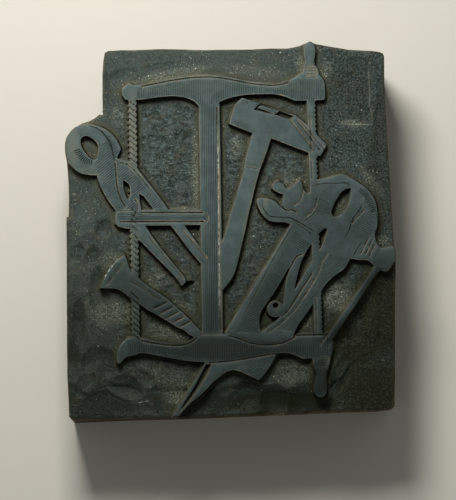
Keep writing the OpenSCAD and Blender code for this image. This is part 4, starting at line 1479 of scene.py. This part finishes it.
@dataclass(frozen=True)
class InkedFace:
    """The carved side of the boxwood, under a worn film of printing ink."""

    face: tuple = dark(81, 95, 93)
    face_deep: tuple = dark(65, 79, 75)
    line: tuple = dark(34, 41, 40)
    bare: tuple = dark(122, 118, 98)
    # Worn rims, with a painted highlight where they face left
    rim: tuple = dark(136, 126, 102)
    # Painted highlight along rims facing the foot
    painted_rim_highlight: tuple = dark(150, 152, 140)
    ground: tuple = dark(82, 94, 90)
    ground_deep: tuple = dark(34, 40, 33)
    ground_pale: tuple = dark(104, 117, 114)
    # Brownish-green ground tone at random, and painted shade in a band round the relief
    olive_ground_and_edge_shade: tuple = dark(74, 72, 52)
    # Painted shade on the ground close to the relief
    corner: tuple = dark(30, 30, 18)
    # Painted shadow on the ground below and right of edges
    painted_shadow: tuple = dark(22, 22, 12)
    sand: tuple = dark(154, 157, 136)
    grit: tuple = dark(216, 213, 188)
    ridge: tuple = dark(104, 104, 86)
    # Painted highlight: bluish streaks on the ground between the tools
    painted_flake_highlight: tuple = dark(142, 162, 164)
    # Steep sides facing the head and left: bare wood and dust, with painted light
    wall_with_painted_light: tuple = dark(116, 116, 98)
    # Painted shade on steep sides facing the foot and right
    painted_wall_shade: tuple = dark(30, 28, 18)
    # Darkest ink on the face, partly painted shade towards the foot; also the glue line
    fresh_ink_and_shade: tuple = dark(17, 21, 14)
    # Darkest ink on the ground, partly painted shade towards the foot
    ground_ink_and_shade: tuple = dark(18, 21, 1)
    ink_grain: tuple = dark(78, 76, 46)
    calm: tuple = dark(70, 81, 74)
    calm_deep: tuple = dark(30, 34, 27)
    # Thin bright lines: dust and wear, with a painted highlight
    glint: tuple = dark(112, 126, 124)
    bright: tuple = dark(206, 206, 190)
    # Painted shade in the dark grooves of the thin lines
    painted_crease_shade: tuple = dark(13, 15, 8)
    arris: tuple = dark(62, 48, 24)

    def material(self, effects: Effects) -> bpy.types.Material:
        """Builds the finish.

        Args:
            effects: The shared effects.

        Returns:
            The material.
        """
        web, shader, place = start_material("inked_face")
        facing = web.node("ShaderNodeNewGeometry").outputs["True Normal"]
        upward = web.node("ShaderNodeSeparateXYZ", {0: facing}).outputs["Z"]
        mottle = web.noise(place, 0.45, 5, 0.6)
        fine = web.noise(place, 2.4, 4, 0.7)
        raised = web.seen("edge_mm", 0.03, -0.03)
        floor = self._floor(web, effects, place, mottle, fine)
        colour = web.blend(raised, floor, self._face(web, place, mottle, fine))
        # Steep sides: painted light on those facing the head and left, painted shade on those
        # facing the foot and right
        steep = web.times(web.rise(upward, 0.85, 0.5), web.rise(fine, 0.2, 0.6))
        footward = web.seen("south", 0.0, 0.5)
        painted_shade_side = web.math("MAXIMUM", footward, web.seen("west", 0.1, -0.5))
        wall_with_painted_light = web.blend(painted_shade_side, self.wall_with_painted_light, self.painted_wall_shade)
        colour = web.cover(colour, wall_with_painted_light, steep, 0.85)
        # Dark ink towards the foot and in the listed patches: partly fresher ink, partly painted
        # shade
        ink = web.times(web.attribute("ink"), web.rise(mottle, -0.2, 0.5))
        inked = web.blend(raised, self.ground_ink_and_shade, self.fresh_ink_and_shade)
        colour = web.cover(colour, inked, ink, 0.9)
        low_ink = web.times(ink, web.rest(raised))
        low_ink = web.times(low_ink, web.attribute("grain"))
        grainy = web.times(low_ink, web.rise(fine, 0.48, 0.62))
        colour = web.cover(colour, self.ink_grain, grainy, 0.42)
        # Thin lines: bright ones with dust and a painted highlight, dark ones with painted shade
        ledge = web.attribute("ledge")
        dotted = web.rise(web.noise(place, 2.0, 3, 0.6), 0.4, 0.58)
        worn_and_lit = web.blend(web.rise(ledge, 0.4, 0.75), self.glint, self.bright)
        colour = web.cover(colour, worn_and_lit, web.rise(ledge, 0, 0.8), dotted)
        colour = web.cover(colour, self.painted_crease_shade, web.rise(ledge, 0, -1), 0.85)
        jitter = web.times(fine, 0.5)
        brink = web.rise(web.plus(web.attribute("side_mm"), jitter), 0.7, 0.2)
        colour = web.cover(colour, self.arris, brink, 0.7)
        web.dress(shader, colour, 0.33, fine, 0.25)
        shader.inputs["Specular IOR Level"].default_value = DULL
        open_bump = web.plus(0.4, web.times(web.attribute("grain"), 0.6))
        rough = web.times(open_bump, web.rest(web.times(raised, 0.8)))
        pebbles = web.plus(fine, web.times(web.noise(place, 6.0, 2, 0.5), 0.35))
        web.bump(shader, web.times(pebbles, rough), 0.36, 1.0)
        return web.material

    def _face(self, web: Web, place: object, mottle: object, fine: object) -> Socket:
        """Colour of the printing face: a film of ink, thin along some of its rims, with a painted
        highlight on rims facing left and the foot.
        """
        colour = web.blend(web.rise(mottle, 0.35, 0.7), self.face_deep, self.face)
        colour = web.cover(colour, self.face_deep, web.rise(fine, 0.3, 0.7), 0.3)
        colour = web.cover(colour, self.line, web.attribute("tint"), 0.6)
        thin = web.times(web.attribute("worn"), web.rise(fine, 0.25, 0.6))
        colour = web.cover(colour, self.bare, thin, 0.75)
        jitter = web.times(web.math("SUBTRACT", fine, 0.5), 0.5)
        frayed = web.plus(web.attribute("edge_mm"), jitter)
        patchy = web.rise(web.noise(place, 0.3, 4, 0.65), 0.36, 0.62)
        # Rims facing left get a painted highlight on top of the wear
        left = web.seen("west", -0.7, 0.6)
        share = web.times(web.plus(0.16, web.times(left, 0.5)), patchy)
        share = web.plus(share, web.times(left, 0.12))
        share = web.times(share, web.seen("ink", 1.1, 0.8))
        worn_and_lit = web.times(web.rise(frayed, -0.26, -0.03), share)
        colour = web.blend(worn_and_lit, colour, self.rim)
        # Painted highlight along rims facing the foot
        low = web.times(web.rise(frayed, -0.14, -0.02), web.seen("south", 0.3, 0.8))
        return web.cover(colour, self.painted_rim_highlight, low, web.times(patchy, 0.4))

    def _floor(
        self, web: Web, effects: Effects, place: object, mottle: object, fine: object
    ) -> Socket:
        """Colour of the ground and of the cut lines, with the dust that lies in them, and painted
        shade, shadow and highlights.
        """
        calm = web.blend(web.rise(fine, 0.1, 0.8), self.calm_deep, self.calm)
        low = web.blend(web.rise(fine, 0.38, 0.62), self.ground_deep, self.ground)
        low = web.blend(web.seen("grain", -0.3, 0.9), calm, low)
        tone = web.attribute("tone")
        framed = web.attribute("framed")
        strong = web.plus(0.12, web.times(framed, 0.16))
        low = web.cover(low, self.ground_deep, web.rise(tone, 0.5, 0.0), strong)
        low = web.cover(low, self.ground_pale, web.rise(tone, 0.5, 1.0), strong)
        streaks = web.rise(web.noise(web.scaled(place, (5.0, 0.7, 1)), 1, 3), 0.42, 0.66)
        low = web.cover(low, self.ground_deep, streaks, 0.34)
        # Painted highlight in bluish streaks, on the open ground between the tools
        painted_highlight_streaks = web.rise(web.noise(web.scaled(place, (0.8, 2.4, 1)), 1, 5, 0.7), 0.54, 0.66)
        clear = web.times(framed, web.seen("edge_mm", 0.8, 2.2))
        low = web.cover(low, self.painted_flake_highlight, web.times(painted_highlight_streaks, clear), 0.7)
        ridge = web.times(web.attribute("ridge"), web.rise(mottle, 0.3, 0.6))
        low = web.cover(low, self.ridge, ridge, 0.4)
        edge = web.attribute("edge_mm")
        # Painted shade in a band round the relief
        edge_shade_share = web.times(web.rise(edge, 1.6, 0.5), 0.6)
        low = web.blend(edge_shade_share, low, self.olive_ground_and_edge_shade)
        low = web.cover(low, self.olive_ground_and_edge_shade, web.rise(mottle, 0.5, 0.7), 0.4)
        # Painted shade on the ground close to the relief
        low = web.cover(low, self.corner, web.rise(edge, 0.7, 0.1), 0.6)
        dust, line = web.attribute("dust"), web.attribute("line")
        grains = web.rise(web.noise(place, 3.0, 4, 0.75), 0.42, 0.66)
        sandy = web.times(dust, grains, clamp=True)
        low = web.cover(low, self.sand, sandy, 0.66)
        lined = web.times(line, web.attribute("lined"))
        amount = web.plus(web.times(dust, 0.33), web.times(lined, 0.9))
        dots = web.rise(web.noise(place, 1.5, 3, 0.7), 0.42, 0.6)
        low = web.cover(low, self.grit, web.times(lined, dots), 0.85)
        small = web.group(effects.specks, Place=place, Scale=4.2, Amount=web.plus(amount, 0.05))
        few = web.plus(web.times(amount, 0.2), 0.006)
        large = web.group(effects.specks, Place=place, Scale=2.4, Amount=few)
        low = web.cover(low, self.grit, small["Mask"], 0.75)
        low = web.cover(low, self.grit, large["Mask"], 0.9)
        # Painted shadow below and right of edges, except in the cut lines
        painted_shadow = web.math("SUBTRACT", web.attribute("painted_shadow_share"), line, clamp=True)
        low = web.cover(low, self.painted_shadow, painted_shadow, 0.9)
        return web.cover(low, self.fresh_ink_and_shade, web.attribute("seam"), 0.8)


@dataclass(frozen=True)
class HandledSides:
    """Sides of the boxwood, dark with ink and handling, with the fibres upright."""

    pale: tuple = dark(58, 45, 25)
    deep: tuple = dark(30, 23, 12)
    scuff: tuple = dark(92, 70, 40)

    def material(self, effects: Effects) -> bpy.types.Material:
        """Builds the finish from the shared effects."""
        web, shader, place = start_material("handled_sides")
        grain = web.group(effects.fibres, Place=place, Ring=1.7)
        colour = web.blend(web.rise(grain["Fibres"], 0.35, 0.65), self.deep, self.pale)
        worn = web.rise(web.noise(place, 0.25, 4, 0.7), 0.55, 0.75)
        colour = web.cover(colour, self.scuff, worn, 0.5)
        web.dress(shader, colour, 0.7, worn, 0.15)
        shader.inputs["Specular IOR Level"].default_value = DULL
        web.bump(shader, grain["Fibres"], 0.06, 0.6)
        return web.material


@dataclass(frozen=True)
class PlanedBase:
    """End grain of the underside, planed flat, with its growth rings."""

    pale: tuple = dark(146, 110, 66)
    ring: tuple = dark(100, 70, 38)
    stain: tuple = dark(52, 42, 28)

    def material(self, effects: Effects) -> bpy.types.Material:
        """Builds the finish from the shared effects."""
        web, shader, place = start_material("planed_base")
        grain = web.group(effects.fibres, Place=place, Ring=1.7)
        colour = web.blend(grain["Rings"], self.pale, self.ring)
        colour = web.blend(web.rise(grain["Fibres"], 0.55, 0.75), colour, self.ring)
        soiled = web.rise(web.noise(place, 0.12, 5, 0.65), 0.42, 0.66)
        colour = web.cover(colour, self.stain, soiled, 0.75)
        web.dress(shader, colour, 0.5, soiled, 0.2)
        web.bump(shader, grain["Rings"], 0.03, 0.5)
        return web.material


@dataclass(frozen=True)
class BareTongue:
    """Bare straight-grained wood, dulled with handling."""

    pale: tuple = dark(128, 98, 62)
    deep: tuple = dark(78, 56, 32)

    def material(self, effects: Effects) -> bpy.types.Material:
        """Builds the finish from the shared effects."""
        web, shader, place = start_material("bare_tongue")
        grain = web.group(effects.fibres, Place=place, Ring=1.1)
        colour = web.blend(grain["Fibres"], self.deep, self.pale)
        specks = web.group(effects.specks, Place=place, Scale=1.8, Amount=0.4)["Mask"]
        colour = web.cover(colour, self.deep, specks, 0.6)
        web.dress(shader, colour, 0.55, grain["Fibres"], 0.25)
        web.bump(shader, grain["Fibres"], 0.04, 0.6)
        return web.material


@dataclass
class Studio:
    """Floor, light and camera."""

    distance: float = 600
    lens: float = 216
    tilt: float = 6.5
    roll: float = 0.6
    aim: Spot = (-0.55, -4.4)
    lamp_place: tuple = (-0.04, 0.13, 0.2)
    lamp_size: float = 0.08
    lamp_power: float = 0.53

    def build(self) -> None:
        """Sets up everything round the block."""
        self._floor()
        self._light()
        bpy.context.scene.world = self._room()
        self._camera()
        bpy.context.scene.view_settings.view_transform = "Standard"

    def _room(self) -> bpy.types.World:
        """Walls of the room: dim overhead, pale round the horizon."""
        world = bpy.data.worlds.new("room")
        world.use_nodes = True
        web = Web(world.node_tree)
        back = world.node_tree.nodes["Background"]
        place = web.node("ShaderNodeTexCoord").outputs["Generated"]
        way = web.node("ShaderNodeSeparateXYZ", {0: place})
        high = web.rise(way.outputs["Z"], 0.06, 0.32)
        web.give(back.inputs["Color"], web.blend(high, dark(232, 230, 224), dark(104, 106, 108)))
        return world

    def _floor(self) -> None:
        """Lays a plain pale floor under the block, which stays pale far from the lamp."""
        work = bmesh.new()
        bmesh.ops.create_grid(work, x_segments=1, y_segments=1, size=2.0)
        floor = add_object("floor", finished(work, "floor"))
        paint = bpy.data.materials.new("pale_floor")
        paint.use_nodes = True
        shader = paint.node_tree.nodes["Principled BSDF"]
        shader.inputs["Base Color"].default_value = dark(222, 217, 202)
        shader.inputs["Roughness"].default_value = 0.85
        web = Web(paint.node_tree, paint)
        away = web.vector("LENGTH", web.node("ShaderNodeTexCoord").outputs["Object"])
        rays = web.node("ShaderNodeLightPath")
        seen = web.math("MAXIMUM", rays.outputs["Is Camera Ray"], rays.outputs["Is Glossy Ray"])
        seen = web.math("MAXIMUM", seen, rays.outputs["Is Transmission Ray"])
        far = web.times(web.rise(away, 0.07, 0.24), seen)
        glow = web.node("ShaderNodeEmission", {"Color": dark(226, 223, 214)})
        ways = {0: far, 1: shader.outputs[0], 2: glow.outputs[0]}
        either = web.node("ShaderNodeMixShader", ways)
        web.give(paint.node_tree.nodes["Material Output"].inputs["Surface"], either.outputs[0])
        floor.data.materials.append(paint)

    def _light(self) -> None:
        """Hangs a square lamp that faces the block."""
        lamp = bpy.data.lights.new("key", "AREA")
        lamp.size, lamp.energy = self.lamp_size, self.lamp_power
        holder = add_object("key", lamp)
        holder.location = self.lamp_place
        holder.rotation_euler = (-holder.location).to_track_quat("-Z", "Y").to_euler()

    def _camera(self) -> None:
        """Puts the camera where the photograph was taken."""
        tilt, roll = math.radians(self.tilt), math.radians(self.roll)
        forward = Vector((0, math.sin(tilt), -math.cos(tilt)))
        level, rise = Vector((1, 0, 0)), Vector((0, math.cos(tilt), math.sin(tilt)))
        right = level * math.cos(roll) - rise * math.sin(roll)
        up = level * math.sin(roll) + rise * math.cos(roll)
        target = Vector((*self.aim, FACE)) * MM
        turn = Matrix((right, up, -forward)).transposed().to_4x4()
        data = bpy.data.cameras.new("camera")
        data.lens = self.lens
        data.clip_start = 0.01
        camera = add_object("camera", data)
        camera.matrix_world = Matrix.Translation(target - forward * self.distance * MM) @ turn
        bpy.context.scene.camera = camera


# Tint areas, in the picture's own millimetres
TINTS = [
    Tint([(-18.8, 26.2), (19.3, 26.2), (19.3, 31.4), (13.5, 31.4), (9, 30.2), (-5, 31.9),
          (-18.8, 30)], 90),
    Tint([(-5.55, -19.6), (-5.6, 26), (-2.75, 26), (-2.6, -19.6)], 90),
    Tint([(-20.8, -24.4), (-20.8, -20.9), (-9, -22.1), (-6, -20.5), (0, -20.8), (7, -22.4),
          (13, -20.9), (19.7, -20.9), (19.2, -24.9), (14, -25), (9, -24.1), (-3, -25.6),
          (-17.5, -23.6)], 90),
    Tint([(-22.8, 2.9), (-5, 2.8), (-5, 4.3), (-22.8, 4.8)], 0),
    Tint([(-27.3, 15.4), (-26.2, 18), (-24, 20.4), (-22.2, 17.4), (-22.6, 15), (-19.6, 14.2),
          (-12.8, 5.2), (-22.8, 5.2), (-26.4, 11.6)], 40, 0.42),
    Tint([(12.6, 0.7), (14.4, -0.8), (16.2, -1.8), (11, -8.6), (5.2, -17), (5.4, -19.9),
          (0.3, -19.9)], -30, 0.42),
    Tint([(19.6, -4.1), (24, -5), (22.6, -7.2), (18.6, -10.6), (12.4, -19.8), (8.6, -19.2),
          (12.6, -15.4), (16.5, -9.6), (17.9, -6.8)], -36, 0.42),
    Tint([(17.7, 7.3), (20, 6.4), (20, 3.6), (16.4, 3.4), (17.3, 5.4)], -28, 0.42),
    Tint([(24.5, 1.9), (26.9, 4.5), (29.2, 4.6), (29.1, 0.8), (27.6, -1.2),
          (24.2, -1.3)], -30, 0.42),
    Tint([(2.2, -25.2), (8.8, -24.3), (6.2, -28.2), (5.3, -29), (3, -28)], -32, 0.42),
]


def comb(path: Line, middle: Spot, length: float, pitch: float = 0.4) -> list[Stroke]:
    """Short strokes across a path, as a graver sets them along a round edge.

    Args:
        path: The line that the strokes cross.
        middle: The point that they all look to.
        length: Length of a stroke.
        pitch: Distance from one to the next.

    Returns:
        The strokes.
    """
    nodes = np.array(path)
    steps = np.hypot(*np.diff(nodes, axis=0).T)
    reach = np.concatenate([[0], np.cumsum(steps)])
    strokes = []
    for s in np.arange(0, reach[-1], pitch):
        x, y = (np.interp(s, reach, nodes[:, k]) for k in (0, 1))
        turn = math.atan2(y - middle[1], x - middle[0])
        side = length / 2 * np.array([math.cos(turn), math.sin(turn)])
        strokes.append(Stroke((x - side[0], y - side[1]), (x + side[0], y + side[1])))
    return strokes


def strands(top: Spot, foot: Spot, pitch: float = 1.15) -> list[Stroke]:
    """Slanted cuts that part the strands of a twisted cord.

    Args:
        top: Upper end of the cord's middle line.
        foot: Lower end of it.
        pitch: Distance from one cut to the next.

    Returns:
        The cuts.
    """
    cuts = []
    for y in np.arange(top[1] - 0.5, foot[1], -pitch):
        x = np.interp(y, [foot[1], top[1]], [foot[0], top[0]])
        cuts.append(Stroke((x - 0.62, y + 0.6), (x + 0.62, y - 0.5), 0.26, 0.2))
    return cuts


# Lines engraved in the printing face, in the picture's own millimetres
CUT_LINES = [
    [(6.3, 6), (6.6, 5), (7.2, 4), (8.1, 3.4), (9.9, 3.3), (11.9, 3.2), (13.3, 2.4), (14.7, 1.6),
     (16.3, 0.6)],
    [(13.1, 2), (14.5, 1.1), (16, 0)],
    [(8.8, 9.9), (9.2, 10.3), (9.8, 10.5), (10.3, 10.2)],
    [(17.8, 6.7), (17.6, 5.5), (17, 4.4), (16.1, 3.4), (15.1, 2.7)],
    [(16.6, 9.5), (17.6, 9.8), (19.2, 10), (21.2, 10), (23, 10.1), (23.8, 9.8)],
    [(26.3, 5.4), (25.5, 4.2), (24.5, 2.9), (24, 1.6), (23.7, 0.4), (22.8, -1)],
    [(26, -2.1), (24.6, -4.3)],
    [(29.8, -2.9), (28.6, -5.1)],
    [(12.3, 1.3), (11.2, -0.5), (9.8, -2.8), (8.2, -5.6), (6.3, -9.2), (4.5, -12.6),
     (2.7, -15.7)],
    [(-28.3, 22.2), (-26.8, 21.8), (-25.5, 20.8), (-24.5, 19.5), (-23.8, 18.1), (-23.5, 16.4),
     (-23.2, 15)],
    [(-26.6, -9.6), (-25.6, -7.8), (-24.4, -6.2)],
]


def engraved(path: Line, width: float = 0.24, depth: float = 0.13) -> list[Stroke]:
    """Cuts that follow each other along a drawn line."""
    return [Stroke(a, b, width, depth) for a, b in zip(path[:-1], path[1:])]


def main() -> None:
    """Builds the block, its finishes and the studio."""
    logging.basicConfig(level=logging.INFO, format="%(name)s: %(message)s")
    solids = {name: Solid(name) for name in ("head_strip", "middle_strip", "foot_strip")}
    strokes = comb([(26, 8.6), (27, 7.9), (27.9, 6.3), (28.4, 5), (28.8, 4)], (22, 3), 0.8)
    jaw = [(-30.7, 17.3), (-30.2, 16.4), (-29.5, 15.6), (-28.6, 15), (-27.6, 14.7)]
    strokes += comb(jaw, (-27, 18.5), 0.9)
    strokes += [stroke for path in CUT_LINES for stroke in engraved(path)]
    strokes += strands((-19.5, 27), (-19.45, 14.2)) + strands((-19.33, 0.4), (-19.25, -7.6))
    strokes += strands((-19.2, -11.8), (-19.15, -20.4)) + strands((-19.4, 5.4), (-19.35, 1.4))
    carving = Carving(solids, tints=TINTS, strokes=strokes)
    effects = Effects()
    finishes = [finish.material(effects) for finish in (InkedFace(), HandledSides(), PlanedBase())]
    Strip("head_strip", carving, [Joint.UPPER]).build(finishes)
    Strip("middle_strip", carving, [Joint.UPPER, Joint.LOWER]).build(finishes)
    Strip("foot_strip", carving, [Joint.LOWER]).build(finishes)
    bare = BareTongue().material(effects)
    for joint in Joint:
        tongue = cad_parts[joint.value].data
        tongue.materials.clear()
        tongue.materials.append(bare)
        LOG.info("%s: dressed", joint.value)
    Studio().build()


if __name__ == "__main__":
    main()
